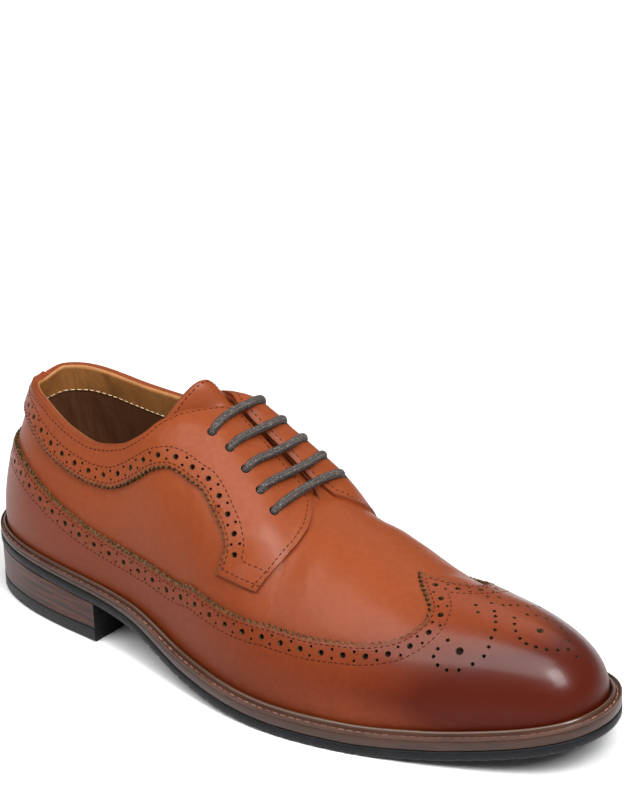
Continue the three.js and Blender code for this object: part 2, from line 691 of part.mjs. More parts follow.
const liftTop = () => LIFT_THICKNESS;
addPiece('heel_lift', solidGeometry(slab([
  { inset: 1, height: () => 0 },
  { inset: 0.4, height: () => 1 },
  { inset: 0.4, height: liftTop },
], HEEL_LENGTH)), 0x26262a, 0.7);
addPiece('heel_stack', solidGeometry(slab([
  { inset: 0.6, height: () => LIFT_THICKNESS + 0.05 },
  { inset: 0.6, height: (x) => outsoleBottom(x) - GAP },
], HEEL_LENGTH)), 0x4a2620, 0.5);
addPiece('outsole', solidGeometry(slab([
  { inset: 1.2, height: outsoleBottom },
  { inset: 0, height: (x) => outsoleBottom(x) + 1 },
  { inset: 0, height: outsoleTop },
], LENGTH)), 0x2a2a2e, 0.7);
addPiece('midsole', solidGeometry(slab([
  { inset: 0.5, height: (x) => outsoleTop(x) + GAP },
  { inset: 0.2, height: (x) => outsoleTop(x) + 1 },
  { inset: 0.2, height: (x) => midsoleTop(x) - 0.5 },
  { inset: 0.6, height: midsoleTop },
], LENGTH)), 0x5a3a2c, 0.5);
addPiece('welt', solidGeometry(weltRing()), 0x4a2c20, 0.35);
const insoleInset = featherInset(1) + UPPER_WALL + 0.8;
addPiece('insole', solidGeometry(slab([
  { inset: insoleInset, height: (x) => midsoleTop(x) + GAP },
  { inset: insoleInset, height: (x) => midsoleTop(x) + GAP + INSOLE_THICKNESS },
], LENGTH)), 0x6b4526, 0.8);

const overlay = (sheet) => solidGeometry(leatherFrom(sheet, OVERLAY_GAP, OVERLAY_GAP + OVERLAY_THICKNESS));
addPiece('upper', solidGeometry(leatherFrom(upperSheet(), -UPPER_WALL, 0)), 0xa9562b, 0.35);
addPiece('wing_overlay', overlay(wingSheet()), 0x9a4a26, 0.3);
addPiece('quarter_lateral', overlay(quarterSheet(LATERAL)), 0xa65329, 0.35);
addPiece('quarter_medial', overlay(quarterSheet(MEDIAL)), 0xa65329, 0.35);
const stripFrom = 2 * OVERLAY_GAP + OVERLAY_THICKNESS;
addPiece('heel_strip', solidGeometry(leatherFrom(heelStripSheet(), stripFrom, stripFrom + STRIP_THICKNESS)),
  0x9a4a26, 0.35);
const tongueTop = -UPPER_WALL - 0.4;
addPiece('tongue', solidGeometry(leatherFrom(tongueSheet(), tongueTop - TONGUE_THICKNESS, tongueTop)), 0xa65a30, 0.4);
EYELETS.forEach((eyelet, i) => addPiece(`lace_bar_${i + 1}`, laceBar(eyelet), 0x4a403c, 0.85));

// Origin at the middle of the box on the floor
const box = new THREE.Box3().setFromObject(shoe);
const middle = box.getCenter(new THREE.Vector3());
shoe.children.forEach((mesh) => mesh.geometry.translate(-middle.x, -middle.y, 0));

export default shoe;
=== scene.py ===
import math

import bmesh
import bpy
import numpy as np
from mathutils import Matrix, Vector
from mathutils.geometry import delaunay_2d_cdt
from mathutils.kdtree import KDTree


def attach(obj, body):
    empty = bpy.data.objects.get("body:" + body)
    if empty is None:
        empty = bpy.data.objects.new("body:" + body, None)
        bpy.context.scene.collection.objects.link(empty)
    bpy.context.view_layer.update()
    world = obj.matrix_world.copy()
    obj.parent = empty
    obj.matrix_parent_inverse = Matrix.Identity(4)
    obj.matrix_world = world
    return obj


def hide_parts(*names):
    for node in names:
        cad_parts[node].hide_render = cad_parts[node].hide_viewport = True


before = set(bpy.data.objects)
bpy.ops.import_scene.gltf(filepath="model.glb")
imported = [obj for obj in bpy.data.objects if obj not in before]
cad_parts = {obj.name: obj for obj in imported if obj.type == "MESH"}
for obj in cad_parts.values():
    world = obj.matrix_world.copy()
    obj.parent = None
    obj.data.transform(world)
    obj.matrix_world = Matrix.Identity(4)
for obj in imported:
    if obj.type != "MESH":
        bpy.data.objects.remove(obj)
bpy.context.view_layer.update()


# Outsole: a sheet of black rubber under the whole shoe, cemented to the midsole. It rises over
# the heel, arches at the waist and turns up at the toe. Its lower edge is finely notched.
LENGTH = 306.0
BALL_WIDTH = 103.8
INSTEP_HEIGHT = 104.0
HEEL_RISE = 21.8
OUTSOLE_THICKNESS = 4.4
SHIFT = np.array([-LENGTH / 2, 1.93, 0.0])
LATERAL, MEDIAL = -1, 1

# Rows along the shoe: share of its length, and half widths as shares of the ball width
SOLE_PLAN = dict(
    at=[0, .015, .035, .07, .12, .22, .33, .44, .54, .64, .74, .84, .93, .975, 1],
    lateral=[-.008, .127, .195, .26, .31, .353, .386, .462, .519, .517, .454, .357, .25, .16, -.032],
    medial=[.008, .128, .192, .258, .307, .317, .288, .315, .396, .473, .476, .431, .337, .231, .032],
)
SOLE_SIDE = dict(
    at=[0, .235, .33, .45, .56, .61, .71, .8, .9, 1],
    height=[1, .849, .683, .206, .028, 0, 0, .087, .307, .628],
)


def through(xs, ys):
    """Smooth curve through rows of a table that never overshoots them."""
    xs, ys = np.array(xs, float), np.array(ys, float)
    h = np.diff(xs)
    slope = np.diff(ys) / h
    m = np.zeros(len(xs))
    m[0], m[-1] = slope[0], slope[-1]
    for i in range(1, len(xs) - 1):
        if slope[i - 1] * slope[i] > 0:
            before, after = 2 * h[i] + h[i - 1], h[i] + 2 * h[i - 1]
            m[i] = (before + after) / (before / slope[i - 1] + after / slope[i])

    def read(x):
        x = np.asarray(x, float)
        i = np.clip(np.searchsorted(xs, x, side="left") - 1, 0, len(h) - 1)
        t = np.clip((x - xs[i]) / h[i], 0, 1)
        rise = ys[i + 1] - ys[i]
        a, b = h[i] * m[i] - rise, rise - h[i] * m[i + 1]
        return ys[i] + rise * t + t * (1 - t) * (a * (1 - t) + b * t)

    return read


def angle_of(at):
    return np.arccos(np.clip(1 - 2 * np.asarray(at, float), -1, 1))


def plan_curve():
    """Half width of the sole against the angle round it, as a natural cubic that closes on itself."""
    angles = list(angle_of(SOLE_PLAN["at"])) + list(2 * math.pi - angle_of(SOLE_PLAN["at"][1:-1])[::-1])
    widths = [-v * BALL_WIDTH for v in SOLE_PLAN["lateral"]]
    widths += [v * BALL_WIDTH for v in SOLE_PLAN["medial"][1:-1][::-1]]
    turn = 2 * math.pi
    x = np.array([a - turn for a in angles[-5:]] + angles + [a + turn for a in angles[:6]])
    y = np.array(widths[-5:] + widths + widths[:6])
    h = np.diff(x)
    bend = np.zeros((len(x), len(x)))
    pull = np.zeros(len(x))
    bend[0, 0] = bend[-1, -1] = 1
    for i in range(1, len(x) - 1):
        bend[i, i - 1:i + 2] = h[i - 1], 2 * (h[i - 1] + h[i]), h[i]
        pull[i] = 6 * ((y[i + 1] - y[i]) / h[i] - (y[i] - y[i - 1]) / h[i - 1])
    second = np.linalg.solve(bend, pull)

    def read(angle):
        angle = np.asarray(angle, float)
        i = np.clip(np.searchsorted(x, angle, side="left") - 1, 0, len(h) - 1)
        b = (angle - x[i]) / h[i]
        a = 1 - b
        lift = ((a ** 3 - a) * second[i] + (b ** 3 - b) * second[i + 1]) * h[i] ** 2 / 6
        return a * y[i] + b * y[i + 1] + lift

    return read


plan_y = plan_curve()


def inward_at(angle):
    step = 0.002
    dx = LENGTH / 2 * (np.cos(angle - step) - np.cos(angle + step))
    dy = plan_y(angle + step) - plan_y(angle - step)
    size = np.hypot(dx, dy)
    return -dy / size, dx / size


def inset_point(angle, inset):
    nx, ny = inward_at(angle)
    return LENGTH / 2 * (1 - np.cos(angle)) + nx * inset, plan_y(angle) + ny * inset


sole_side = through(SOLE_SIDE["at"], SOLE_SIDE["height"])


def outsole_bottom(x):
    return HEEL_RISE * sole_side(np.asarray(x) / LENGTH)


def outsole_top(x):
    return outsole_bottom(x) + OUTSOLE_THICKNESS


def slab(rings, to_x=LENGTH + 10, stations=260):
    """Grid of points for stacked rings over the plan, each ring an inset and a height function."""
    angles = np.linspace(0, math.pi, 1500)
    loops = []
    for inset, height in rings:
        lat_x, lat_y = inset_point(angles, inset)
        med_x, med_y = inset_point(2 * math.pi - angles, inset)
        start, end = max(lat_x[0], med_x[0]), min(lat_x[-1], med_x[-1])
        if to_x < LENGTH:
            x = start + (to_x - start) * (1 - np.cos(np.linspace(0, math.pi / 2, stations)))
        else:
            x = start + (end - start) * (1 - np.cos(np.linspace(0, math.pi, stations))) / 2
        lat = np.interp(x, lat_x, lat_y)
        med = np.interp(x, med_x, med_y)
        if to_x > LENGTH:
            lat[-1] = med[-1] = (lat[-1] + med[-1]) / 2
        lat[0] = med[0] = (lat[0] + med[0]) / 2
        z = height(x)
        loops.append((np.c_[x, lat, z], np.c_[x, med, z]))
    i = np.arange(stations - 1)

    def row(k, side, step=0):
        return (2 * k + side) * stations + i + step

    top = len(loops) - 1
    faces = [np.c_[row(0, 0), row(0, 1), row(0, 1, 1), row(0, 0, 1)],
             np.c_[row(top, 0), row(top, 0, 1), row(top, 1, 1), row(top, 1)]]
    for k in range(top):
        faces.append(np.c_[row(k, 0), row(k, 0, 1), row(k + 1, 0, 1), row(k + 1, 0)])
        faces.append(np.c_[row(k, 1, 1), row(k, 1), row(k + 1, 1), row(k + 1, 1, 1)])
        ends = np.array([2 * k, 2 * k + 1, 2 * k + 3, 2 * k + 2]) * stations + stations - 1
        faces.append(ends[None])
    return np.vstack([line for pair in loops for line in pair]), faces


def add_piece(name, points, faces, skin, stands_for=(), fields=None, weld=True, crisp=None):
    """Makes a mesh piece from millimetre points, smooth but for edges sharper than crisp degrees."""
    mesh = bpy.data.meshes.new(name)
    points = (np.asarray(points, float) + SHIFT) * 0.001
    sizes = np.concatenate([np.full(len(f), f.shape[1]) for f in faces])
    loops = np.concatenate([np.asarray(f).ravel() for f in faces])
    mesh.vertices.add(len(points))
    mesh.vertices.foreach_set("co", points.ravel())
    mesh.loops.add(len(loops))
    mesh.loops.foreach_set("vertex_index", loops.astype(np.int32))
    mesh.polygons.add(len(sizes))
    mesh.polygons.foreach_set("loop_start", (np.cumsum(sizes) - sizes).astype(np.int32))
    mesh.update(calc_edges=True)
    for key, values in (fields or {}).items():
        mesh.attributes.new(key, "FLOAT", "POINT").data.foreach_set("value", np.asarray(values, np.float32))
    if weld:
        work = bmesh.new()
        work.from_mesh(mesh)
        bmesh.ops.remove_doubles(work, verts=work.verts, dist=4e-6)
        bmesh.ops.recalc_face_normals(work, faces=work.faces)
        work.to_mesh(mesh)
        work.free()
    mesh.polygons.foreach_set("use_smooth", np.ones(len(mesh.polygons), bool))
    if crisp:
        mesh.set_sharp_from_angle(angle=math.radians(crisp))
    mesh.materials.append(skin)
    piece = bpy.data.objects.new(name, mesh)
    bpy.context.scene.collection.objects.link(piece)
    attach(piece, "root")
    if stands_for:
        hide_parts(*stands_for)
    return piece


class Shade:
    """A value or colour of a material; arithmetic on it adds the nodes."""

    def __init__(self, tree, out=None, colour=False):
        self.tree, self.out, self.colour = tree, out, colour

    def add(self, kind, settings=None, sockets=None, output=0, colour=False):
        node = self.tree.nodes.new("ShaderNode" + kind)
        for key, value in (settings or {}).items():
            setattr(node, key, value)
        for key, value in (sockets or {}).items():
            self.feed(node.inputs[key], value)
        return Shade(self.tree, node.outputs[output], colour)

    def feed(self, socket, value):
        if isinstance(value, Shade):
            self.tree.links.new(value.out, socket)
        elif isinstance(value, tuple) and len(value) == 3 and socket.type == "RGBA":
            socket.default_value = (*value, 1)
        else:
            socket.default_value = value

    def math(self, operation, a, b=0.0, c=0.0):
        return self.add("Math", {"operation": operation}, {0: a, 1: b, 2: c})

    def paint(self, blend, factor, a, b):
        settings = {"data_type": "RGBA", "blend_type": blend}
        return self.add("Mix", settings, {0: factor, 6: a, 7: b}, output=2, colour=True)

    def combine(self, operation, blend, a, b):
        colours = [isinstance(v, tuple) or (isinstance(v, Shade) and v.colour) for v in (a, b)]
        if not any(colours):
            return self.math(operation, a, b)
        a, b = [(v, v, v) if isinstance(v, (int, float)) else v for v in (a, b)]
        return self.paint(blend, 1.0, a, b)

    def __add__(self, other): return self.combine("ADD", "ADD", self, other)
    def __radd__(self, other): return self.combine("ADD", "ADD", other, self)
    def __sub__(self, other): return self.combine("SUBTRACT", "SUBTRACT", self, other)
    def __rsub__(self, other): return self.combine("SUBTRACT", "SUBTRACT", other, self)
    def __mul__(self, other): return self.combine("MULTIPLY", "MULTIPLY", self, other)
    def __rmul__(self, other): return self.combine("MULTIPLY", "MULTIPLY", other, self)

    def ramp(self, low, high):
        """0 below low and 1 above high, smooth between them; low may be the larger."""
        sockets = {0: self, 1: float(low), 2: float(high)}
        return self.add("MapRange", {"interpolation_type": "SMOOTHSTEP", "clamp": True}, sockets)

    def mix(self, a, b):
        return self.paint("MIX", self, a, b)

    def noise(self, scale, detail=2.0, stretch=None, rough=0.5):
        where = self
        if stretch:
            where = self.add("VectorMath", {"operation": "MULTIPLY"}, {0: self, 1: stretch})
        sockets = {"Vector": where, "Scale": scale, "Detail": detail, "Roughness": rough}
        return self.add("TexNoise", {}, sockets)

    def axis(self, name):
        return self.add("SeparateXYZ", {}, {0: self}, output="XYZ".index(name))

    def bump(self, height, strength, distance):
        sockets = {"Height": height, "Strength": strength, "Distance": distance}
        return self.add("Bump", {}, sockets)

    def field(self, name):
        return self.add("Attribute", {"attribute_name": name}, output="Fac")


def material(name, finish):
    """A material whose Principled shader takes what finish(shade, place) gives for each socket."""
    made = bpy.data.materials.new(name)
    made.use_nodes = True
    tree = made.node_tree
    shader = tree.nodes["Principled BSDF"]
    shade = Shade(tree)
    place = shade.add("TexCoord", output="Object")
    for key, value in finish(shade, place).items():
        shade.feed(shader.inputs[key], value)
    return made


def rubber_finish(shade, place):
    speck = place.noise(1800, 3.0)
    dust = place.noise(60, 4.0).ramp(0.5, 0.75)
    return {
        "Base Color": dust.mix((0.0055, 0.006, 0.007), (0.011, 0.0115, 0.013)),
        "Roughness": 0.48 + dust * 0.14,
        "Specular IOR Level": 0.18,
        "Normal": shade.bump(speck, 0.25, 0.0002),
    }


NICK_PITCH = 6.4
FIRST_NICK = 95.0


def nicks(x, depth):
    """Small nicks in the lower edge, evenly along the shoe and absent over the heel."""
    wave = np.cos(2 * math.pi * x / NICK_PITCH)
    return np.where(x > FIRST_NICK, depth * np.clip(wave * 6 - 5, 0, 1), 0)


rubber = material("black_rubber", rubber_finish)
points, faces = slab([
    (2.0, lambda x: outsole_bottom(x) + nicks(x, 0.5)),
    (0.9, lambda x: outsole_bottom(x) + 0.1 + nicks(x, 0.6)),
    (0.3, lambda x: outsole_bottom(x) + 0.5 + nicks(x, 0.6)),
    (0.0, lambda x: outsole_bottom(x) + 1.2 + nicks(x, 0.4)),
    (0.0, lambda x: outsole_top(x) - 0.35),
    (0.25, lambda x: outsole_top(x) - 0.08),
    (0.7, outsole_top),
], stations=420)
add_piece("outsole_sheet", points, faces, rubber, ["outsole"], crisp=50)


# Top lift: the black rubber tread of the heel, nailed and cemented under the stack, with its
# lower edge eased by wear.
HEEL_LENGTH = 79.8
LIFT_THICKNESS = 6.2


def level(height):
    return lambda x: 0 * x + height


points, faces = slab([
    (1.4, level(0)),
    (0.6, level(0.35)),
    (0.25, level(1.1)),
    (0.25, level(LIFT_THICKNESS - 0.2)),
    (0.5, level(LIFT_THICKNESS)),
], HEEL_LENGTH)
add_piece("heel_top_lift", points, faces, rubber, ["heel_lift"], crisp=40)


# Heel stack: lifts of reddish brown leather board, glued in layers between the outsole and the
# top lift, sanded flush and waxed. The front face, or breast, is inked black.
BOARD_THICKNESS = 3.8
BREAST = (HEEL_LENGTH - LENGTH / 2) * 0.001


def stack_finish(shade, place):
    layer = place.axis("Z") * 1000
    streak = place.noise(30, 5.0, (1.0, 1.0, 22.0), 0.62)
    seam = shade.math("PINGPONG", layer + streak * 0.7, BOARD_THICKNESS / 2).ramp(0.28, 0.0)
    tone = streak.ramp(0.36, 0.66).mix((0.015, 0.005, 0.004), (0.085, 0.022, 0.014))
    breast = place.axis("X").ramp(BREAST - 0.0005, BREAST - 0.0002)
    return {
        "Base Color": breast.mix((seam * 0.75).mix(tone, (0.012, 0.005, 0.004)), (0.01, 0.009, 0.009)),
        "Roughness": 0.34 + streak * 0.22,
        "Coat Weight": 0.1 - breast * 0.08,
        "Coat Roughness": 0.2,
        "Specular IOR Level": 0.2,
        "Normal": shade.bump(streak - seam * 0.8, 0.35, 0.0003),
    }


stack_skin = material("stacked_leather", stack_finish)
points, faces = slab([
    (0.75, level(LIFT_THICKNESS + 0.02)),
    (0.45, level(LIFT_THICKNESS + 0.3)),
    (0.4, lambda x: outsole_bottom(x) - 0.35),
    (0.7, lambda x: outsole_bottom(x) - 0.02),
], HEEL_LENGTH)
add_piece("heel_stack_layers", points, faces, stack_skin, ["heel_stack"], crisp=40)


# Midsole: a brown leather layer between the outsole and the welt, thicker before the waist,
# stitched and cemented. Its trimmed edge is stained and waxed, lighter than the welt's top.
MIDSOLE_HEEL = 2.6
MIDSOLE_FOREFOOT = 4.6


def midsole_top(x):
    share = np.clip((np.asarray(x) / LENGTH - 0.25) / 0.2, 0, 1)
    return outsole_top(x) + MIDSOLE_HEEL + share * (MIDSOLE_FOREFOOT - MIDSOLE_HEEL)


def edge_finish(shade, place):
    fibre = place.noise(90, 5.0, (1.0, 1.0, 9.0), 0.6)
    worn = place.noise(35, 3.0).ramp(0.45, 0.7)
    tone = fibre.ramp(0.3, 0.7).mix((0.028, 0.0105, 0.006), (0.044, 0.017, 0.0095))
    return {
        "Base Color": (worn * 0.35).mix(tone, (0.062, 0.027, 0.016)),
        "Roughness": 0.33 + fibre * 0.2,
        "Coat Weight": 0.14,
        "Coat Roughness": 0.2,
        "Specular IOR Level": 0.3,
        "Normal": shade.bump(fibre, 0.3, 0.0002),
    }


edge_skin = material("sole_edge", edge_finish)
points, faces = slab([
    (0.9, lambda x: outsole_top(x) + 0.03),
    (0.4, lambda x: outsole_top(x) + 0.25),
    (0.15, lambda x: outsole_top(x) + 0.9),
    (0.15, lambda x: midsole_top(x) - 0.6),
    (0.4, lambda x: midsole_top(x) - 0.15),
    (0.9, midsole_top),
], stations=420)
add_piece("midsole_layer", points, faces, edge_skin, ["midsole"], crisp=50)


# Welt: a strip of dark brown leather round the foot of the upper, its outer lip raised, a
# stitched groove in the middle and a rounded, polished bead against the upper.
FEATHER_INSET = dict(at=[0, .25, .45, 1], inset=[5, 5.4, 6.5, 6.8])
OVERLAY_OUT = 1.85
WELT_GAP = 0.7
feather_inset = through(FEATHER_INSET["at"], FEATHER_INSET["inset"])
# Round the welt's section: share of its width from the outer edge inwards, millimetres above
# the midsole
WELT_SECTION = [
    (0.04, -0.1), (0.04, 0.75), (0.07, 1.1), (0.13, 1.28), (0.2, 1.2), (0.27, 0.95), (0.33, 0.62),
    (0.4, 0.42), (0.5, 0.42), (0.56, 0.62), (0.6, 1.2), (0.64, 1.75), (0.7, 2.2), (0.78, 2.5),
    (0.87, 2.6), (0.95, 2.4), (1.01, 1.9), (1.05, 1.2), (1.05, -0.1),
]


def welt_point(angle, across, up):
    at = (1 - np.cos(angle)) / 2
    width = feather_inset(at) - OVERLAY_OUT - WELT_GAP
    x, y = inset_point(angle, across * width)
    return np.c_[x, y, midsole_top(x) + up]


def welt_finish(shade, place):
    across = shade.field("across")
    mottle = place.noise(70, 4.0)
    grain = place.noise(900, 3.0)
    # Painted shade: the groove is coloured darker, as the shade in the recess.
    groove = across.ramp(0.27, 0.36) - across.ramp(0.55, 0.62)
    bead = across.ramp(0.58, 0.7)
    tone = mottle.ramp(0.35, 0.7).mix((0.045, 0.018, 0.011), (0.075, 0.03, 0.018))
    return {
        "Base Color": bead.mix((groove * 0.8).mix(tone, (0.035, 0.009, 0.005)), (0.06, 0.026, 0.014)),
        "Roughness": 0.42 - bead * 0.16 + mottle * 0.1,
        "Coat Weight": 0.08 + bead * 0.4,
        "Coat Roughness": 0.15,
        "Specular IOR Level": 0.3,
        "Normal": shade.bump(grain, 0.2, 0.0002),
    }


def grid_faces(count, width, start=0, closed=False, tube=False):
    """Quads over a grid of points. Closed joins its last column to the first, tube its last row."""
    columns = np.arange(count if closed else count - 1)
    i, j = np.meshgrid(columns, np.arange(width if tube else width - 1), indexing="ij")
    here, ahead, above = start + i * width, start + (i + 1) % count * width, (j + 1) % width
    return np.stack([here + j, ahead + j, ahead + above, here + above], -1).reshape(-1, 4)


TURNED = [0, 3, 2, 1]
welt_skin = material("welt_leather", welt_finish)
turns = 900
ring_angles = np.linspace(0, 2 * math.pi, turns, endpoint=False)
ring = np.stack([welt_point(ring_angles, across, up) for across, up in WELT_SECTION], 1)
faces = grid_faces(turns, len(WELT_SECTION), closed=True, tube=True)[:, TURNED]
across = np.tile([a for a, _ in WELT_SECTION], turns)
add_piece("welt_strip", ring.reshape(-1, 3), [faces], welt_skin, ["welt"],
          {"across": across}, crisp=60)


# Upper: one soft calf shell drawn over the last, open at the collar, the throat and underneath.
# Tan, glazed, darker towards the toe where it is burnished; darker low on the sides, partly burnish
# and partly painted shade, and lighter low at the front from painted floor light. Both sides meet on the
# vamp's crown.
UPPER_WALL = 2.2
FEATHER_GAP = 0.45
THROAT_AT = 0.585
TOP_LATERAL = dict(
    at=[0, .02, .06, .11, .155, .2, .25, .3, .345, .38, .41, .435, .455, .47, .5, .53, .56, .585],
    x=[.067, .07, .088, .121, .157, .193, .239, .284, .324, .35, .373, .397, .411, .429, .461, .493,
       .523, .544],
    y=[.024, -.019, -.077, -.13, -.169, -.197, -.214, -.212, -.197, -.149, -.077, .01, .06, .061, .057, .051,
       .052, .077],
    z=[.897, .9, .9, .89, .859, .833, .813, .839, .904, .966, .99, .988, .971, .933, .869, .802, .737, .692],
)
TOP_MEDIAL = dict(
    at=TOP_LATERAL["at"],
    x=[.067, .07, .08, .108, .144, .183, .229, .275, .314, .343, .366, .389, .411, .429, .461, .493,
       .523, .544],
    y=[.024, .067, .116, .159, .183, .191, .189, .185, .177, .164, .145, .12, .096, .096, .101, .108,
       .111, .077],
    z=[.897, .913, .933, .938, .929, .915, .906, .904, .923, .957, .986, .996, .971, .933, .869, .802,
       .737, .692],
)
CROWN = dict(
    at=[.585, .62, .66, .7, .725, .755, .8, .86, .925, 1],
    x=[.544, .572, .605, .634, .66, .686, .719, .768, .817, .856],
    y=[.077, .069, .062, .055, .048, .043, .039, .034, .032, .032],
    z=[.692, .667, .637, .606, .575, .546, .515, .496, .483, .467],
)
SECTION_LATERAL = dict(
    at=[0, .06, .11, .2, .3, .345, .38, .41, .455, .53, .585, .66, .8, .92, 1],
    flare=[1.2, 2, 3, 3.5, 3, 2.5, 2, 1.5, 1.5, 1.5, 1.5, 1.5, 1.5, 1.2, .8],
    rise=[.32, .35, .38, .4, .42, .45, .48, .5, .52, .52, .52, .54, .56, .58, .6],
    reach=[.53, .55, .6, .6, .6, .55, .52, .5, .54, .55, .55, .56, .58, .6, .6],
    lift=[-19.5, -21, -22, -22, -22, -14, -6, -1, 3.5, 1.5, -2.7, 0, 0, 0, 0],
)
SECTION_MEDIAL = dict(
    at=SECTION_LATERAL["at"],
    flare=[1.2, 2, 3, 3.5, 4.5, 5.5, 6, 6.5, 5.5, 4.5, 3, 2, 1.6, 1.2, .8],
    rise=[.32, .35, .38, .4, .42, .47, .5, .56, .57, .57, .56, .56, .57, .58, .6],
    reach=[.53, .55, .6, .6, .6, .75, .85, 1, 1, .95, .76, .66, .6, .6, .6],
    lift=[-19.5, -21, -22, -24, -24, -16, -10, -2, 3, 3, -2.7, 0, 0, 0, 0],
)
COLUMNS, ROWS = 480, 72
column_at = (1 - np.cos(np.linspace(0, math.pi, COLUMNS + 1))) / 2


def table_of(rows, *names):
    return {name: through(rows["at"], rows[name]) for name in names}


crown = table_of(CROWN, "x", "y", "z")
tops = {LATERAL: table_of(TOP_LATERAL, "x", "y", "z"), MEDIAL: table_of(TOP_MEDIAL, "x", "y", "z")}
section_names = ("flare", "rise", "reach", "lift")
sections = {LATERAL: table_of(SECTION_LATERAL, *section_names),
            MEDIAL: table_of(SECTION_MEDIAL, *section_names)}


def bare_skin(side):
    """Grid of the upper's outside, column by column from the feather line to the top edge."""
    at = column_at
    angle = angle_of(at) if side == LATERAL else 2 * math.pi - angle_of(at)
    foot_x, foot_y = inset_point(angle, feather_inset(at))
    nx, ny = inward_at(angle)
    foot = np.c_[foot_x, foot_y, midsole_top(foot_x) + FEATHER_GAP]
    on_crown = at >= THROAT_AT
    size = {"x": LENGTH, "y": BALL_WIDTH, "z": INSTEP_HEIGHT}
    top = np.stack([np.where(on_crown, crown[k](at), tops[side][k](at)) * size[k] for k in "xyz"], 1)
    shape = {name: sections[side][name](at) for name in section_names}
    low = foot.copy()
    low[:, 0] -= nx * shape["flare"]
    low[:, 1] -= ny * shape["flare"]
    low[:, 2] += shape["rise"] * (top[:, 2] - foot[:, 2])
    high = top.copy()
    high[:, :2] += (foot[:, :2] - top[:, :2]) * shape["reach"][:, None]
    ahead = np.minimum(1, at + 0.01)
    run = (crown["x"](ahead) - crown["x"](ahead - 0.01)) * LENGTH
    slope = (crown["z"](ahead) - crown["z"](ahead - 0.01)) * INSTEP_HEIGHT / np.maximum(run, 1e-6)
    high[:, 2] += np.where(on_crown, slope * (high[:, 0] - top[:, 0]), shape["lift"])
    t = np.linspace(0, 1, 241)[None, :, None]
    curve = ((1 - t) ** 3 * foot[:, None] + 3 * t * (1 - t) ** 2 * low[:, None]
             + 3 * t * t * (1 - t) * high[:, None] + t ** 3 * top[:, None])
    lengths = np.linalg.norm(np.diff(curve, axis=1), axis=2)
    run = np.concatenate([np.zeros((len(at), 1)), np.cumsum(lengths, 1)], 1)
    grid = np.empty((len(at), ROWS + 1, 3))
    for k in range(len(at)):
        wanted = np.linspace(0, run[k, -1], ROWS + 1)
        for axis in range(3):
            grid[k, :, axis] = np.interp(wanted, run[k], curve[k, :, axis])
    return grid, run[:, -1]


def normals_of(grids):
    """Outward normals of both grids, made equal where the sides join."""
    out = {}
    for side in (LATERAL, MEDIAL):
        along, upwards = np.gradient(grids[side], axis=0), np.gradient(grids[side], axis=1)
        out[side] = np.cross(along, upwards) * -side
    first = int(np.searchsorted(column_at, THROAT_AT))
    heel, toe, crown_rows = np.s_[:1, :], np.s_[-1:, :], np.s_[first:, -1:]
    for where in (heel, toe, crown_rows):
        shared = out[LATERAL][where] + out[MEDIAL][where]
        out[LATERAL][where] = shared
        out[MEDIAL][where] = shared
    return {side: n / np.maximum(1e-9, np.linalg.norm(n, axis=2, keepdims=True)) for side, n in out.items()}


skin_grids, wall_lengths = {}, {}
for side in (LATERAL, MEDIAL):
    skin_grids[side], wall_lengths[side] = bare_skin(side)
skin_normals = normals_of(skin_grids)

# Soft forms pressed into the leather: share along the shoe and up the wall, their reach in
# millimetres along and up, the turn of the long way in degrees, and the depth, a ridge positive
SOFT_FORMS = [
    dict(at=.60, up=.62, side=LATERAL, along=7, across=22, turn=18, depth=-0.7),
    dict(at=.635, up=.70, side=LATERAL, along=6, across=20, turn=14, depth=0.5),
    dict(at=.665, up=.80, side=LATERAL, along=6, across=24, turn=8, depth=-0.5),
    dict(at=.70, up=.88, side=LATERAL, along=6, across=22, turn=4, depth=0.35),
    dict(at=.62, up=.66, side=MEDIAL, along=7, across=22, turn=-16, depth=-0.6),
    dict(at=.665, up=.78, side=MEDIAL, along=6, across=22, turn=-10, depth=0.4),
    dict(at=.56, up=.52, side=LATERAL, along=5, across=13, turn=30, depth=-0.6),
    dict(at=.53, up=.62, side=LATERAL, along=6, across=10, turn=-20, depth=0.4),
    dict(at=.40, up=.45, side=LATERAL, along=16, across=16, turn=0, depth=-0.5),
    dict(at=.36, up=.5, side=MEDIAL, along=16, across=16, turn=0, depth=-0.5),
    dict(at=.13, up=.42, side=LATERAL, along=14, across=10, turn=0, depth=0.35),
    dict(at=.522, up=.47, side=LATERAL, along=2.5, across=6, turn=25, depth=-0.45),
    dict(at=.535, up=.50, side=LATERAL, along=2.5, across=5, turn=15, depth=-0.35),
    dict(at=.585, up=.86, side=LATERAL, along=5, across=14, turn=35, depth=0.7),
    dict(at=.60, up=.92, side=MEDIAL, along=6, across=14, turn=-20, depth=0.5),
]
for form in SOFT_FORMS:
    side = form["side"]
    column = int(angle_of(form["at"]) / math.pi * COLUMNS)
    row = int(form["up"] * ROWS)
    centre = skin_grids[side][column, row]
    along = skin_grids[side][column + 4, row] - skin_grids[side][column - 4, row]
    along /= np.linalg.norm(along)
    upwards = np.cross(skin_normals[side][column, row], along) * -side
    turn = math.radians(form["turn"])
    for target in (LATERAL, MEDIAL):
        away = skin_grids[target] - centre
        u = away @ (along * math.cos(turn) + upwards * math.sin(turn)) / form["along"]
        v = away @ (upwards * math.cos(turn) - along * math.sin(turn)) / form["across"]
        w = away @ skin_normals[side][column, row] / (form["along"] + form["across"])
        form_field = np.exp(-(u * u + v * v + w * w)) * form["depth"]
        skin_grids[target] = skin_grids[target] + skin_normals[target] * form_field[..., None]
skin_normals = normals_of(skin_grids)


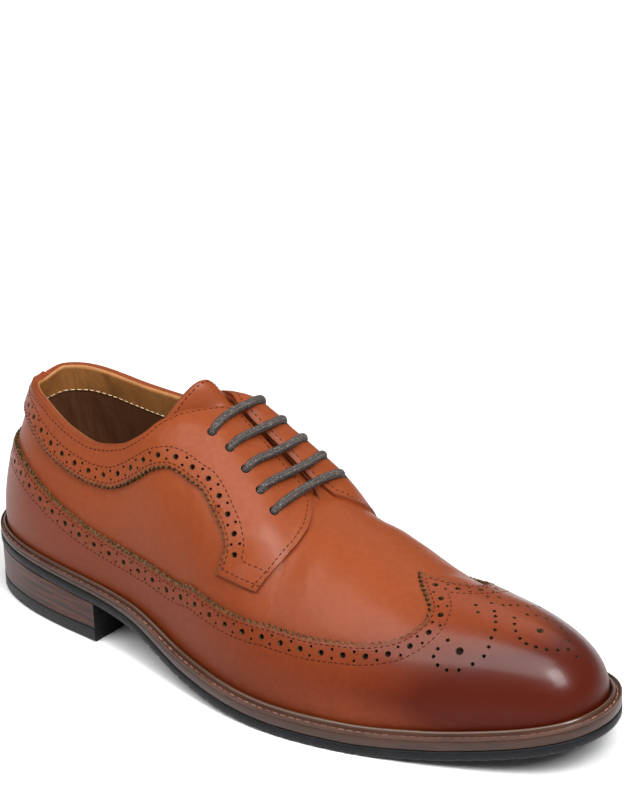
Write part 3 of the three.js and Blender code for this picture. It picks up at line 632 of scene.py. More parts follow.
def on_skin(at, up, side, out=0.0):
    """Point out from the leather at a column and a share of the way up it, and the normal there."""
    i = np.clip(angle_of(at) / math.pi * COLUMNS, 0, COLUMNS - 1e-6)
    j = np.clip(np.asarray(up, float) * ROWS, 0, ROWS - 1e-6)
    a, b = i.astype(int), j.astype(int)
    u, v = (i - a)[..., None], (j - b)[..., None]

    def read(grid):
        return ((1 - u) * (1 - v) * grid[a, b] + u * (1 - v) * grid[a + 1, b]
                + (1 - u) * v * grid[a, b + 1] + u * v * grid[a + 1, b + 1])

    normal = read(skin_normals[side])
    normal /= np.linalg.norm(normal, axis=-1, keepdims=True)
    return read(skin_grids[side]) + normal * np.asarray(out, float)[..., None], normal


def leather_finish(tan, dark, gloss):
    """Glazed calf: tan in the open, dark where it is burnished, with fine pores. Low on the sides it is
    darker, partly burnish and partly painted shade; low at the front it is lighter from painted floor light;
    the floors of punched holes are painted near black as shade.
    """
    def finish(shade, place):
        x = place.axis("X")
        cloud = place.noise(26, 4.0, None, 0.55)
        speckle = place.noise(420, 3.0)
        pores = shade.add("TexVoronoi", {"feature": "SMOOTH_F1"}, {"Vector": place, "Scale": 1500.0})
        edge, rise, raw = shade.field("edge"), shade.field("rise"), shade.field("raw")
        # Darker low on the walls (low, the side band and the rise ramp in the second burnish line): partly
        # burnish, partly painted shade for light that falls from above.
        low = rise.ramp(0.34, 0.0)
        toe = x.ramp(0.05, 0.12)
        side_burnish_and_shade = x.ramp(-0.03, 0.08) * low
        # Painted light: low at the front the leather is lightened, as if lit by the bright floor.
        painted_floor_light = rise.ramp(0.2, 0.04) * x.ramp(0.02, 0.08)
        burnish_and_shade = toe * (0.26 + rise.ramp(0.9, 0.4) * 0.6 + x.ramp(0.112, 0.15) * 0.25 + (cloud - 0.5) * 0.5)
        burnish_and_shade = burnish_and_shade + side_burnish_and_shade * 0.35 + rise.ramp(0.72, 0.3) * 0.32 + cloud.ramp(0.5, 0.8) * 0.1 - painted_floor_light * 0.6
        rim = edge.ramp(1.5, 0.0)
        # Painted shade: the floors of punched holes are painted near black, as the shade inside them.
        cut, pit = shade.field("cut").ramp(0.4, 0.6), shade.field("pit").ramp(0.4, 0.6)
        fuzz = place.noise(1100, 3.0).ramp(0.38, 0.62).mix((0.016, 0.009, 0.004), (0.115, 0.066, 0.028))
        tone = shade.math("MAXIMUM", shade.math("MINIMUM", burnish_and_shade, 1.0), 0.0).mix(tan, dark)
        tone = (speckle.ramp(0.35, 0.75) * 0.16).mix(tone, dark)
        tone = (raw * 0.7).mix((rim * 0.5).mix(tone, (0.13, 0.03, 0.01)), fuzz)
        return {
            "Base Color": pit.mix(cut.mix(tone, fuzz), (0.01, 0.005, 0.003)),
            "Roughness": gloss + speckle * 0.1 + pores * 0.06 + (rim + raw) * 0.15 + cut * 0.4 + pit * 0.4,
            "Coat Weight": (0.09 + toe * 0.27) * rise.ramp(0.1, 0.42) * (1 - raw) * (1 - cut) * (1 - pit),
            "Coat Roughness": 0.2,
            "Specular IOR Level": 0.12,
            "Normal": shade.bump(speckle * 0.5 + pores * 0.6 + cloud * 2.0, 0.14, 0.0004),
        }
    return finish


tan_skin = material("tan_leather", leather_finish((0.205, 0.042, 0.0105), (0.1, 0.014, 0.004), 0.36))


def round_the_shoe(rows):
    """Lateral rows from heel to toe, then the medial ones back to the heel."""
    return np.concatenate([rows[LATERAL], rows[MEDIAL][-2:0:-1]])


def closed_sheet(out):
    return round_the_shoe({side: skin_grids[side] + skin_normals[side] * out for side in (LATERAL, MEDIAL)})


FAR_IN = 50.0
outside = closed_sheet(0.0)
lining = closed_sheet(-UPPER_WALL)
count = len(outside)
share = np.tile(np.linspace(0, 1, ROWS + 1), (count, 1))
ring_at = round_the_shoe({LATERAL: column_at, MEDIAL: column_at})
ring_length = round_the_shoe(wall_lengths)
depth = (1 - share) * ring_length[:, None]
opening = (ring_at < THROAT_AT)[:, None]
rim_out = np.array([-0.25, -0.75, -1.1])
rim_up = np.array([0.35, 0.45, 0.5])
ring_normals = round_the_shoe(skin_normals)[:, -1]
upwards = outside[:, -1] - outside[:, -2]
upwards /= np.maximum(1e-9, np.linalg.norm(upwards, axis=1, keepdims=True))
open_rim = [outside[:, -1] + (ring_normals * o + upwards * u) * opening for o, u in zip(rim_out, rim_up)]
grid = np.concatenate([outside, np.stack(open_rim, 1)], 1)
width = grid.shape[1]
rim_edge = np.where(opening, np.zeros((count, 3)), FAR_IN)
fields = {
    "edge": np.concatenate([np.where(opening, depth, FAR_IN), rim_edge], 1).ravel(),
    "rise": np.concatenate([share, np.ones((count, 3))], 1).ravel(),
}
add_piece("upper_shell", grid.reshape(-1, 3), [grid_faces(count, width, closed=True)], tan_skin,
          ["upper"], fields)


# Lining: yellow tan glove leather inside the shell, turned and stitched to it at the rim. A pale
# thread row runs about 12 mm below the collar's rim, and the pocket below it is darker.
COLLAR_DEPTH = 12.0


def lining_finish(shade, place):
    down = shade.field("down")
    cloud = place.noise(45, 4.0)
    fine = place.noise(700, 3.0)
    wrinkle = place.noise(110, 3.0, (1.0, 1.0, 0.18))
    heel_fold = place.axis("X").ramp(-0.08, -0.115)
    fold_and_shade = place.noise(150, 2.0, (1.0, 1.0, 0.06)) * heel_fold
    pocket = down.ramp(COLLAR_DEPTH + 0.4, COLLAR_DEPTH + 1)
    tone = cloud.ramp(0.3, 0.75).mix((0.34, 0.14, 0.036), (0.26, 0.094, 0.021))
    # Painted shade: the heel folds are coloured darker, as shade in the wrinkles.
    tone = (fold_and_shade.ramp(0.56, 0.7) * 0.5).mix(tone, (0.16, 0.06, 0.015))
    return {
        "Base Color": pocket.mix(tone, (0.1, 0.036, 0.013)),
        "Roughness": 0.5 + fine * 0.12,
        "Normal": shade.bump(fine * 0.2 + wrinkle * (1 - pocket) * 3.0 + fold_and_shade * 4.0, 0.4, 0.0014),
    }


lining_skin = material("glove_lining", lining_finish)
inner_rim = outside[:, -1] + (ring_normals * -1.1 + upwards * 0.5) * opening
mid_rim = outside[:, -1] + (ring_normals * -1.75 + upwards * 0.35) * opening
closed_top = np.where(opening, inner_rim, lining[:, -1])
closed_mid = np.where(opening, mid_rim, lining[:, -1])
grid = np.concatenate([lining, closed_mid[:, None], closed_top[:, None]], 1)
width = grid.shape[1]
down = np.concatenate([np.where(opening, depth, FAR_IN), np.zeros((count, 2))], 1)
faces = grid_faces(count, width, closed=True)[:, ::-1]
add_piece("lining_shell", grid.reshape(-1, 3), [faces], lining_skin,
          fields={"down": down.ravel()})


# Sock and insole: a smooth brown leather bed inside the feather line, for the foot to stand on.
# It is glued down on the midsole.
INSOLE_THICKNESS = 3.0
INSOLE_GAP = 0.8


def sock_finish(shade, place):
    cloud = place.noise(50, 4.0)
    return {
        "Base Color": cloud.ramp(0.3, 0.7).mix((0.16, 0.065, 0.022), (0.11, 0.04, 0.014)),
        "Roughness": 0.6,
        "Normal": shade.bump(place.noise(800, 3.0), 0.2, 0.0003),
    }


sock_skin = material("sock_leather", sock_finish)
bed = float(feather_inset(1)) + UPPER_WALL + INSOLE_GAP
points, faces = slab([
    (bed, lambda x: midsole_top(x) + 0.3),
    (bed, lambda x: midsole_top(x) + INSOLE_THICKNESS - 0.2),
    (bed + 0.7, lambda x: midsole_top(x) + 0.3 + INSOLE_THICKNESS),
])
add_piece("insole_bed", points, faces, sock_skin, ["insole"], crisp=50)


# Long wing: the burnished toe piece, cut to a peak on the vamp and running back round the heel
# as a low band. Its upper edge is gimped, with tiny saw teeth, and it is stitched to the shell.
GIMP_PITCH = 2.8
GIMP_HEIGHT = 1.6
WING_LATERAL = dict(
    at=[0, .05, .12, .2, .28, .36, .43, .51, .58, .65, .7, .745, .775, .8, .811, .814, .809, .8, .793, .787],
    up=[.63, .605, .55, .47, .395, .32, .28, .3, .34, .36, .392, .45, .51, .6, .675, .74, .8, .87, .93, 1],
)
WING_MEDIAL = dict(
    at=[0, .05, .12, .2, .28, .36, .43, .51, .58, .65, .7, .742, .77, .798, .82, .834, .842, .838, .82, .787],
    up=[.63, .605, .55, .47, .395, .32, .28, .3, .34, .36, .392, .445, .505, .585, .66, .73, .81, .885,
        .945, 1],
)
PEAK_AT = 0.787
FOOT_UP = 0.012


def lengths_along(path):
    return np.concatenate([[0], np.cumsum(np.linalg.norm(np.diff(path, axis=0), axis=1))])


def inward_steps(at, up, side, inside):
    """Change of column and share for a millimetre square in from an edge, turned gently at corners."""
    e = 0.0015
    near, far = np.clip(at - e, 0, 1), np.clip(at + e, 0, 1)
    by_at = (on_skin(far, up, side)[0] - on_skin(near, up, side)[0]) / (far - near)[:, None]
    below, above = np.clip(up - 0.01, 0, 1), np.clip(up + 0.01, 0, 1)
    by_up = (on_skin(at, above, side)[0] - on_skin(at, below, side)[0]) / (above - below)[:, None]
    line, normal = on_skin(at, up, side)
    inward = np.cross(normal, np.gradient(line, axis=0)) * inside
    inward /= np.linalg.norm(inward, axis=1, keepdims=True)
    for _ in range(4):
        inward[1:-1] = (inward[:-2] + 2 * inward[1:-1] + inward[2:]) / 4
    aa, au, uu = (by_at * by_at).sum(1), (by_at * by_up).sum(1), (by_up * by_up).sum(1)
    pa, pu = (by_at * inward).sum(1), (by_up * inward).sum(1)
    whole = aa * uu - au * au
    return (pa * uu - pu * au) / whole, (pu * aa - pa * au) / whole


def toothed(at, up, side, turns, inside, ease):
    """An edge line moved in by its saw teeth. Turns counts the teeth along it; ease limits them."""
    step_at, step_up = inward_steps(at, up, side, inside)
    depth = np.minimum(GIMP_HEIGHT * (1 - np.abs(turns % 1 * 2 - 1)), ease)
    return np.c_[np.clip(at + step_at * depth, 0, 1), np.clip(up + step_up * depth, 0, 1)]


middle_run = {side: lengths_along(skin_grids[side][:, ROWS // 2]) for side in (LATERAL, MEDIAL)}


def tree_of(points):
    tree = KDTree(len(points))
    for k, spot in enumerate(points):
        tree.insert(spot, k)
    tree.balance()
    return tree


def distance_to(points, line, reach):
    """Distance in millimetres of each point from a line, up to reach."""
    tree = tree_of(line)
    return np.array([min(reach, tree.find(p)[2]) for p in points])


def patch(outline, side, walls, out=OVERLAY_OUT, spacing=1.3, rows=60):
    """Leather laid on the shell inside an outline of (column, share) points. Walls are runs of
    the outline (first, last, raw) that drop to the shell. Gives points, normals, shares, a cut
    flag, triangles, and how many of those lie on top."""
    def unrolled(at, up):
        height = np.interp(at, column_at, wall_lengths[side])
        return np.stack([np.interp(at, column_at, middle_run[side]), up * height], -1)

    outline = np.asarray(outline, float)
    border = unrolled(outline[:, 0], outline[:, 1])
    run = np.arange(spacing, middle_run[side][-1], spacing)
    columns = np.interp(run, middle_run[side], column_at)
    at, up = (v.ravel() for v in np.meshgrid(columns, np.arange(1, rows) / rows, indexing="ij"))
    inner = unrolled(at, up)
    inside = np.zeros(len(inner), bool)
    for p, q in zip(border, np.roll(border, -1, axis=0)):
        if p[1] != q[1]:
            between = (p[1] > inner[:, 1]) != (q[1] > inner[:, 1])
            crossing = p[0] + (inner[:, 1] - p[1]) * (q[0] - p[0]) / (q[1] - p[1])
            inside ^= between & (inner[:, 0] < crossing)
    kept = np.flatnonzero(inside)
    from_border = distance_to(np.c_[inner[kept], 0 * kept], np.c_[border, 0 * border[:, :1]], 2.0)
    kept = kept[from_border > min(0.6, spacing / 2)]
    count = len(outline)
    spots = [Vector(p) for p in np.vstack([border, inner[kept]])]
    made = delaunay_2d_cdt(spots, [(k, (k + 1) % count) for k in range(count)], [], 1, 1e-7)
    origin = [found[0] if found else -1 for found in made[3]]
    tris = np.array([[origin[k] for k in face] for face in made[2]])
    tris = tris[(tris >= 0).all(1)]
    at, up = np.concatenate([outline[:, 0], at[kept]]), np.concatenate([outline[:, 1], up[kept]])
    outs = np.full(len(at), out)
    for first, last, _ in walls:
        outs[first:last + 1] = out - 0.22
    points, normals = on_skin(at, up, side, outs)
    parts = [(points, normals, up, np.zeros(len(at)))]
    top, start = len(tris), len(at)
    levels = np.array([out - 0.24, out * 0.5, 0.0])
    for first, last, raw in walls:
        run_at = np.repeat(outline[first:last + 1, :1], 3, 1)
        run_up = np.repeat(outline[first:last + 1, 1:], 3, 1)
        wall, facing = on_skin(run_at, run_up, side, levels[None] + 0 * run_at)
        cuts = np.full(run_up.size, float(raw))
        parts.append((wall.reshape(-1, 3), facing.reshape(-1, 3), run_up.ravel(), cuts))
        quads = grid_faces(len(run_at), 3, start)
        tris = np.vstack([tris, quads[:, [0, 1, 2]], quads[:, [0, 2, 3]]])
        start += run_at.size
    points, normals, shares, cuts = (np.concatenate(v) for v in zip(*parts))
    return points, normals, shares, cuts, tris, top


def index_tables(rows, *names):
    return [through(np.arange(len(rows[names[0]])), rows[name]) for name in names]


wing_parts, wing_top, wing_walls, wing_edge_line, start = [], [], [], [], 0
heel_up = WING_LATERAL["up"][0]
for side, rows in ((LATERAL, WING_LATERAL), (MEDIAL, WING_MEDIAL)):
    wing_at, wing_up = index_tables(rows, "at", "up")
    t = np.linspace(0, len(rows["at"]) - 1, 6000)
    line = on_skin(wing_at(t), wing_up(t), side, np.full(len(t), OVERLAY_OUT))[0]
    run = lengths_along(line)
    wing_edge_line.append(line)
    number = round(run[-1] / GIMP_PITCH)
    turns = np.arange(number * 4 + 1) / 4
    even = np.interp(turns / number * run[-1], run, t)
    edge = toothed(wing_at(even), wing_up(even), side, turns, side, 0.45 * GIMP_PITCH * (number - turns))
    crown_line = np.c_[PEAK_AT + (1 - PEAK_AT) * np.arange(1, 42) / 41, np.ones(41)]
    toe_line = np.c_[np.ones(39), np.linspace(1, FOOT_UP, 41)[1:-1]]
    foot_line = np.c_[(1 + np.cos(np.linspace(0, math.pi, 280))) / 2, np.full(280, FOOT_UP)]
    heel_line = np.c_[np.zeros(28), np.linspace(FOOT_UP, heel_up, 30)[1:-1]]
    outline = np.vstack([edge, crown_line, toe_line, foot_line, heel_line])
    points, normals, shares, cuts, tris, top = patch(outline, side, [(0, len(edge) - 1, 1)])
    wing_parts.append((points, normals, shares, cuts))
    wing_top.append(tris[:top] + start)
    wing_walls.append(tris[top:] + start)
    start += len(points)
wing_points, wing_normals, wing_rises, wing_cuts = (np.concatenate(v) for v in zip(*wing_parts))
wing_top, wing_walls = np.vstack(wing_top), np.vstack(wing_walls)
edge_line = np.vstack([wing_edge_line[0][::6], wing_edge_line[1][::6]])
wing_distance = distance_to(wing_points, edge_line, 14.0)


def raw_rim(distance):
    """1 in the toothed rim, where the leather's cut and inked edge shows, 0 from there in."""
    return np.clip((1.9 - distance) / 0.7, 0, 1)


burnished = material("burnished_leather", leather_finish((0.19, 0.036, 0.009), (0.058, 0.0062, 0.0018), 0.3))
fields = {"edge": wing_distance, "rise": wing_rises, "cut": wing_cuts, "raw": raw_rim(wing_distance)}
wing_piece = add_piece("wing_leather", wing_points, [wing_top, wing_walls], burnished, ["wing_overlay"],
                       fields)


# Wing perforations: the punched band that follows the gimped edge, a large hole between each two
# pairs of small ones, and the punched medallion of scrolls on the toe.
HOLE_ROW = 5.7
HOLE_PITCH = 9.0
BIG_HOLE, SMALL_HOLE = 1.2, 0.62
PAIR_GAP = 1.75


def level_paths(points, tris, field, level):
    """Ordered lines across a mesh where a field has one value, longest first."""
    ids = np.unique(np.round(points / 0.02).astype(np.int64), axis=0, return_inverse=True)[1].ravel()
    value = field[tris] - level
    mixed = (value < 0).any(1) & (value >= 0).any(1)
    links, spots = {}, {}
    for tri, f in zip(tris[mixed], value[mixed]):
        ends = []
        for a, b in ((0, 1), (1, 2), (2, 0)):
            if (f[a] < 0) != (f[b] < 0):
                share = f[a] / (f[a] - f[b])
                key = tuple(sorted((ids[tri[a]], ids[tri[b]])))
                spots[key] = points[tri[a]] * (1 - share) + points[tri[b]] * share
                ends.append(key)
        if len(ends) == 2 and ends[0] != ends[1]:
            links.setdefault(ends[0], []).append(ends[1])
            links.setdefault(ends[1], []).append(ends[0])
    paths, seen = [], set()
    for start in sorted(links, key=lambda k: len(links[k])):
        if start in seen:
            continue
        path, here = [], start
        while here is not None:
            seen.add(here)
            path.append(spots[here])
            here = next((k for k in links[here] if k not in seen), None)
        if len(path) > 5:
            paths.append(np.array(path))
    return sorted(paths, key=lambda p: -lengths_along(p)[-1])


def even_path(path, closed=False, count=None, passes=3):
    """The path again at an even step of half a millimetre, or with count points, and smoothed."""
    if closed:
        path = np.vstack([path, path[:1]])
    run = lengths_along(path)
    wanted = np.linspace(0, run[-1], count or max(4, int(run[-1] / 0.5)))
    path = np.stack([np.interp(wanted, run, path[:, k]) for k in range(3)], 1)
    for _ in range(passes):
        path[1:-1] = (path[:-2] + 2 * path[1:-1] + path[2:]) / 4
    return path


def row_at(points, tris, field, level, closed=False):
    """The longest line over a leather where a field has one value, such as one distance in."""
    return even_path(level_paths(points, tris, field, level)[0], closed)


def along_path(path, distances):
    """Points at distances along a path and the direction there."""
    run = lengths_along(path)
    spot = np.stack([np.interp(distances, run, path[:, k]) for k in range(3)], 1)
    ahead = np.stack([np.interp(distances + 0.6, run, path[:, k]) for k in range(3)], 1)
    behind = np.stack([np.interp(distances - 0.6, run, path[:, k]) for k in range(3)], 1)
    way = ahead - behind
    return spot, way / np.maximum(1e-9, np.linalg.norm(way, axis=1, keepdims=True))


def nearest_normals(spots, points, normals):
    tree = tree_of(points)
    return np.array([normals[tree.find(s)[1]] for s in spots])


def punched_row(path, pitch, closed, points, normals, lead=0.0):
    """Holes of a brogue band as (centre, normal, radius): large ones, and small pairs between them."""
    size = lengths_along(path)[-1]
    number = max(1, round((size - 2 * lead) / pitch))
    step = (size - 2 * lead) / number
    large = lead + step * np.arange(number + (0 if closed else 1))
    small = lead + step * (np.arange(number) + 0.5)
    holes = [(s, BIG_HOLE) for s in along_path(path, large)[0]]
    spots, ways = along_path(path, small)
    ups = nearest_normals(spots, points, normals)
    for spot, way, up in zip(spots, ways, ups):
        across = np.cross(up, way)
        holes += [(spot + across * PAIR_GAP, SMALL_HOLE), (spot - across * PAIR_GAP, SMALL_HOLE)]
    ups = nearest_normals([s for s, _ in holes], points, normals)
    return [(s, up, radius) for (s, radius), up in zip(holes, ups)]


def bowl_terms(spots):
    return np.array([[p.x * p.x, p.x * p.y, p.y * p.y, p.x, p.y, 1e-3] for p in spots])


def punch(piece, holes, depth=1.6, sides=14):
    """Cuts round holes in a piece, each with a raw leather wall and a floor painted near black as the shade
    inside the hole.
    """
    work = bmesh.new()
    work.from_mesh(piece.data)
    names = ("edge", "rise", "cut", "pit", "raw")
    layers = {n: work.verts.layers.float.get(n) or work.verts.layers.float.new(n) for n in names}
    work.verts.ensure_lookup_table()
    tree = tree_of([v.co for v in work.verts])
    old = list(work.verts)
    turns = [2 * math.pi * k / sides for k in range(sides)]
    for centre, normal, radius in holes:
        c = Vector((np.asarray(centre) + SHIFT) * 0.001)
        n = Vector(normal).normalized()
        t = n.orthogonal().normalized()
        b = n.cross(t)
        r = radius * 0.001

        def flat(co):
            return Vector(((co - c).dot(t), (co - c).dot(b)))

        near = {f for _, k, _ in tree.find_range(c, r + 0.0035) if old[k].is_valid for f in old[k].link_faces}
        touched = []
        for f in near:
            if abs(f.normal.dot(n)) < 0.5:
                continue
            corners = [flat(v.co) for v in f.verts]
            inside, close = True, False
            sign = 0
            for p, q in zip(corners, corners[1:] + corners[:1]):
                line = q - p
                turn = line.x * -p.y + line.y * p.x
                share = max(0, min(1, -p.dot(line) / max(line.length_squared, 1e-16)))
                close = close or (p + line * share).length < r + 0.00012
                inside = inside and (sign == 0 or turn * sign >= 0)
                sign = sign or (1 if turn > 0 else -1)
            if inside or close:
                touched.append(f)
        if not touched:
            continue
        outward = sum(f.normal.dot(n) for f in touched) > 0
        uses = {}
        for f in touched:
            for e in f.edges:
                uses[e] = uses.get(e, 0) + 1
        border = [e for e, count in uses.items() if count == 1]
        if any(len(e.link_faces) < 2 for e in border):
            continue
        ring = list({v for e in border for v in e.verts})
        place = {v: k for k, v in enumerate(ring)}
        ring_flat = [flat(v.co) for v in ring]
        ring_heights = np.array([(v.co - c).dot(n) for v in ring])
        fit = np.linalg.lstsq(bowl_terms(ring_flat), ring_heights, rcond=None)[0]
        circle = [Vector((r * math.cos(a), r * math.sin(a))) for a in turns]
        lines = [(place[e.verts[0]], place[e.verts[1]]) for e in border]
        lines += [(len(ring) + k, len(ring) + (k + 1) % sides) for k in range(sides)]
        made = delaunay_2d_cdt(ring_flat + circle, lines, [], 1, 1e-9)
        rise = sum(v[layers["rise"]] for v in ring) / len(ring)
        heights = bowl_terms(circle) @ fit
        bmesh.ops.delete(work, geom=touched, context="FACES")

        def loop(scale, drop, cut, pit):
            verts = [work.verts.new(c + (t * p.x + b * p.y) * scale + n * (h - drop * 0.001))
                     for p, h in zip(circle, heights)]
            for v in verts:
                for name, value in (("edge", FAR_IN), ("rise", rise), ("cut", cut), ("pit", pit)):
                    v[layers[name]] = value
            return verts

        lip = loop(1.0, 0.0, 0.0, 0.0)
        every = ring + lip
        origin = [found[0] if found else None for found in made[3]]
        for face in made[2]:
            index = [origin[k] for k in face]
            if None in index:
                continue
            middle = sum(((ring_flat + circle)[k] for k in index), Vector((0, 0))) / len(index)
            if middle.length < r * 0.97 and all(k >= len(ring) for k in index):
                continue
            verts = [every[k] for k in index]
            if not outward:
                verts.reverse()
            if work.faces.get(verts) is None:
                work.faces.new(verts).smooth = True
        loops = [loop(1.0, 0.0, 1.0, 0.0), loop(0.96, 0.5, 1.0, 0.0), loop(0.9, depth, 1.0, 0.0)]
        for upper, lower in zip(loops, loops[1:]):
            for k in range(sides):
                verts = [upper[k], upper[(k + 1) % sides], lower[(k + 1) % sides], lower[k]]
                work.faces.new(verts if not outward else verts[::-1]).smooth = True
        # The floor of the hole, painted near black as shade.
        bottom = loop(0.92, depth - 0.02, 0.0, 1.0)
        work.faces.new(bottom if outward else bottom[::-1])
    work.to_mesh(piece.data)
    work.free()


# Scrolls of the medallion, seen from above: x along the shoe, y from the medallion's middle line
MEDALLION_MIDDLE = 3.2
SCROLL_ONE_SIDE = [
    (251.8, 0.9), (255.7, -3.0), (257.7, -5.3), (259.4, -7.9), (261.4, -11.2), (262.0, -14.8), (263.0, -18.0),
    (263.0, -21.2), (260.2, -24.7), (256.0, -27.9), (251.7, -29.6), (247.7, -29.9), (245.0, -28.6),
    (245.3, -26.1), (247.3, -22.3), (247.9, -4.1), (251.0, -7.2),
]
SCROLL_HEART = (253.5, -23.5)
OVAL_ONE_SIDE = [
    (263.7, -1.4), (265.7, -4.5), (268, -7.2), (271.2, -9.3), (274.5, -9.8), (278.2, -8.9), (281.8, -7.1),
    (284.9, -4.1), (287.1, -0.3),
]
OVAL_HEART, OVAL_TIP = (275.0, -1.0), (290.9, 0.0)
SCROLL_HOLE, SCROLL_HEART_HOLE, OVAL_HEART_HOLE = 0.78, 1.6, 1.4
medallion = [(x, y, SCROLL_HOLE) for x, y in SCROLL_ONE_SIDE + OVAL_ONE_SIDE + [OVAL_TIP]]
medallion += [(x, -y, SCROLL_HOLE) for x, y in SCROLL_ONE_SIDE[1:] + OVAL_ONE_SIDE[1:-1]]
medallion += [(*SCROLL_HEART, SCROLL_HEART_HOLE), (SCROLL_HEART[0], -SCROLL_HEART[1], SCROLL_HEART_HOLE)]
medallion += [(*OVAL_HEART, OVAL_HEART_HOLE)]

peak = wing_edge_line[0][-1]
path = level_paths(wing_points, wing_top, wing_distance, HOLE_ROW)[0]
first = int(np.argmin(np.linalg.norm(path - peak, axis=1)))
path = even_path(np.roll(path, -first, axis=0), closed=True)
wing_holes = punched_row(path, HOLE_PITCH, True, wing_points, wing_normals)
face_up = (wing_normals[:, 2] > 0.2) & (wing_cuts == 0)
seen_from_above = wing_points[face_up] * [1, 1, 0]
tops_of = tree_of(seen_from_above)
for x, y, radius in medallion:
    k = tops_of.find((x, y + MEDALLION_MIDDLE, 0))[1]
    spot, up = wing_points[face_up][k], wing_normals[face_up][k]
    z = spot[2] - ((x - spot[0]) * up[0] + (y + MEDALLION_MIDDLE - spot[1]) * up[1]) / up[2]
    wing_holes.append((np.array([x, y + MEDALLION_MIDDLE, z]), up, radius))
punch(wing_piece, wing_holes)


# Wing stitching: a row of dark red thread just inside the gimped edge, and a second one beyond
# the holes, holding the wing to the shell.
STITCH_PITCH, STITCH_LENGTH, THREAD_RADIUS = 2.4, 1.5, 0.3
EDGE_ROW, INNER_ROW, PLAIN_ROW = 2.6, 9.0, 2.2


def thread_finish(shade, place):
    ply = place.noise(500, 2.0).ramp(0.3, 0.7)
    return {
        "Base Color": ply.mix((0.03, 0.005, 0.002), (0.07, 0.013, 0.005)),
        "Roughness": 0.7,
        "Specular IOR Level": 0.08,
    }


thread_skin = material("red_thread", thread_finish)


def stitched(paths, points, normals, pitch=STITCH_PITCH, length=STITCH_LENGTH, radius=THREAD_RADIUS):
    """Small rounded stitches along paths, sunk a little, as one set of points and faces."""
    sink = 0.1
    xs = np.array([-0.5, -0.42, 0, 0.42, 0.5]) * length
    radii = np.array([0.25, 0.85, 1.0, 0.85, 0.25]) * radius
    turn = np.arange(6) * math.pi / 3
    template = np.stack([np.repeat(xs, 6), np.outer(radii, np.cos(turn)).ravel(),
                         np.outer(radii, np.sin(turn)).ravel()], 1)
    quads = []
    for k in range(4):
        quads += [[k * 6 + m, k * 6 + (m + 1) % 6, k * 6 + 6 + (m + 1) % 6, k * 6 + 6 + m] for m in range(6)]
    caps = np.array([[5, 4, 3, 2, 1, 0], [24, 25, 26, 27, 28, 29]])
    spots, ways = [], []
    for path in paths:
        size = lengths_along(path)[-1]
        spot, way = along_path(path, np.arange(pitch / 2, size, pitch))
        spots.append(spot)
        ways.append(way)
    spots, ways = np.vstack(spots), np.vstack(ways)
    ups = nearest_normals(spots, points, normals)
    across = np.cross(ups, ways)
    across /= np.linalg.norm(across, axis=1, keepdims=True)
    placed = (spots - ups * sink)[:, None] + sum(
        template[None, :, k:k + 1] * frame_way[:, None] for k, frame_way in enumerate((ways, across, ups)))
    starts = (np.arange(len(spots)) * len(template))[:, None, None]
    faces = [(np.array(quads)[None] + starts).reshape(-1, 4), (caps[None] + starts).reshape(-1, 6)]
    return placed.reshape(-1, 3), faces


rows = [row_at(wing_points, wing_top, wing_distance, row, closed=True) for row in (EDGE_ROW, INNER_ROW)]
points, faces = stitched(rows, wing_points, wing_normals)
add_piece("wing_stitches", points, faces, thread_skin, weld=False)


# Collar stitching: a row of pale thread inside, about 12 mm below the rim, that holds the padded
# collar lining.
def pale_finish(shade, place):
    ply = place.noise(500, 2.0).ramp(0.3, 0.7)
    return {"Base Color": ply.mix((0.5, 0.36, 0.2), (0.62, 0.5, 0.32)), "Roughness": 0.6}


COLLAR_ROW_END, COLLAR_ROW_RUN = 0.43, 170
pale_skin = material("pale_thread", pale_finish)
rows, inner_points, inner_normals = [], [], []
for side in (LATERAL, MEDIAL):
    run = np.linspace(0, COLLAR_ROW_RUN, 340)
    at = np.interp(run, lengths_along(skin_grids[side][:, -1]), column_at)
    at = at[at < COLLAR_ROW_END]
    up = 1 - COLLAR_DEPTH / np.interp(at, column_at, wall_lengths[side])
    spots, facing = on_skin(at, up, side, np.full(len(at), -UPPER_WALL - 0.1))
    rows.append(spots)
    inner_points.append(spots)
    inner_normals.append(-facing)
whole_row = np.vstack([rows[0][::-1], rows[1][1:]])
inner_points, inner_normals = np.vstack(inner_points), np.vstack(inner_normals)
points, faces = stitched([whole_row], inner_points, inner_normals, pitch=3.0, length=2.1)
add_piece("collar_stitches", points, faces, pale_skin, weld=False)


# Welt stitching: one row of thick waxed brown thread in the welt's groove, all round the shoe,
# that goes through welt and midsole.
def waxed_finish(shade, place):
    ply = place.noise(300, 2.0).ramp(0.35, 0.65)
    return {"Base Color": ply.mix((0.1, 0.03, 0.016), (0.26, 0.13, 0.08)), "Roughness": 0.45}


groove = welt_point(np.linspace(0, 2 * math.pi, 1800), 0.45, 0.5)
upright = np.tile([0.0, 0.0, 1.0], (len(groove), 1))
points, faces = stitched([even_path(groove)], groove, upright, pitch=3.6, length=2.7, radius=0.38)
waxed_thread = material("waxed_thread", waxed_finish)
add_piece("welt_stitches", points, faces, waxed_thread, weld=False)


# Quarter facings: one on each side, from the back seam along the collar to the lace stays and
# down to a square front tab. The lower edge is gimped; the collar and front edges are folded.
QUARTER = dict(
    low_at=[0, .012, .074, .14, .21, .28, .32, .36, .39, .41, .43, .455, .475, .49, .5, .498, .494, .515,
            .535, .549, .559],
    low_up=[.85, .84, .8, .73, .71, .71, .74, .77, .755, .72, .665, .615, .58, .55, .5, .45, .4, .413, .425,
            .434, .44],
    high_at=[0, .012, .074, .14, .21, .27, .32, .36, .39, .42, .445, .458, .475, .495, .515, .535, .556,
             .575, .592, .599, .594],
    high_up=[1] * 17 + [.95, .88, .8, .71],
)
GIMP_END_ROW = 16
quarter_tables = index_tables(QUARTER, "low_at", "low_up", "high_at", "high_up")
QUARTER_HOLE_PITCH = 8.6
QUARTER_GIMP_PITCH = 2.5
PLAIN_STEP = 0.8
EYELET_RADIUS = 2.05
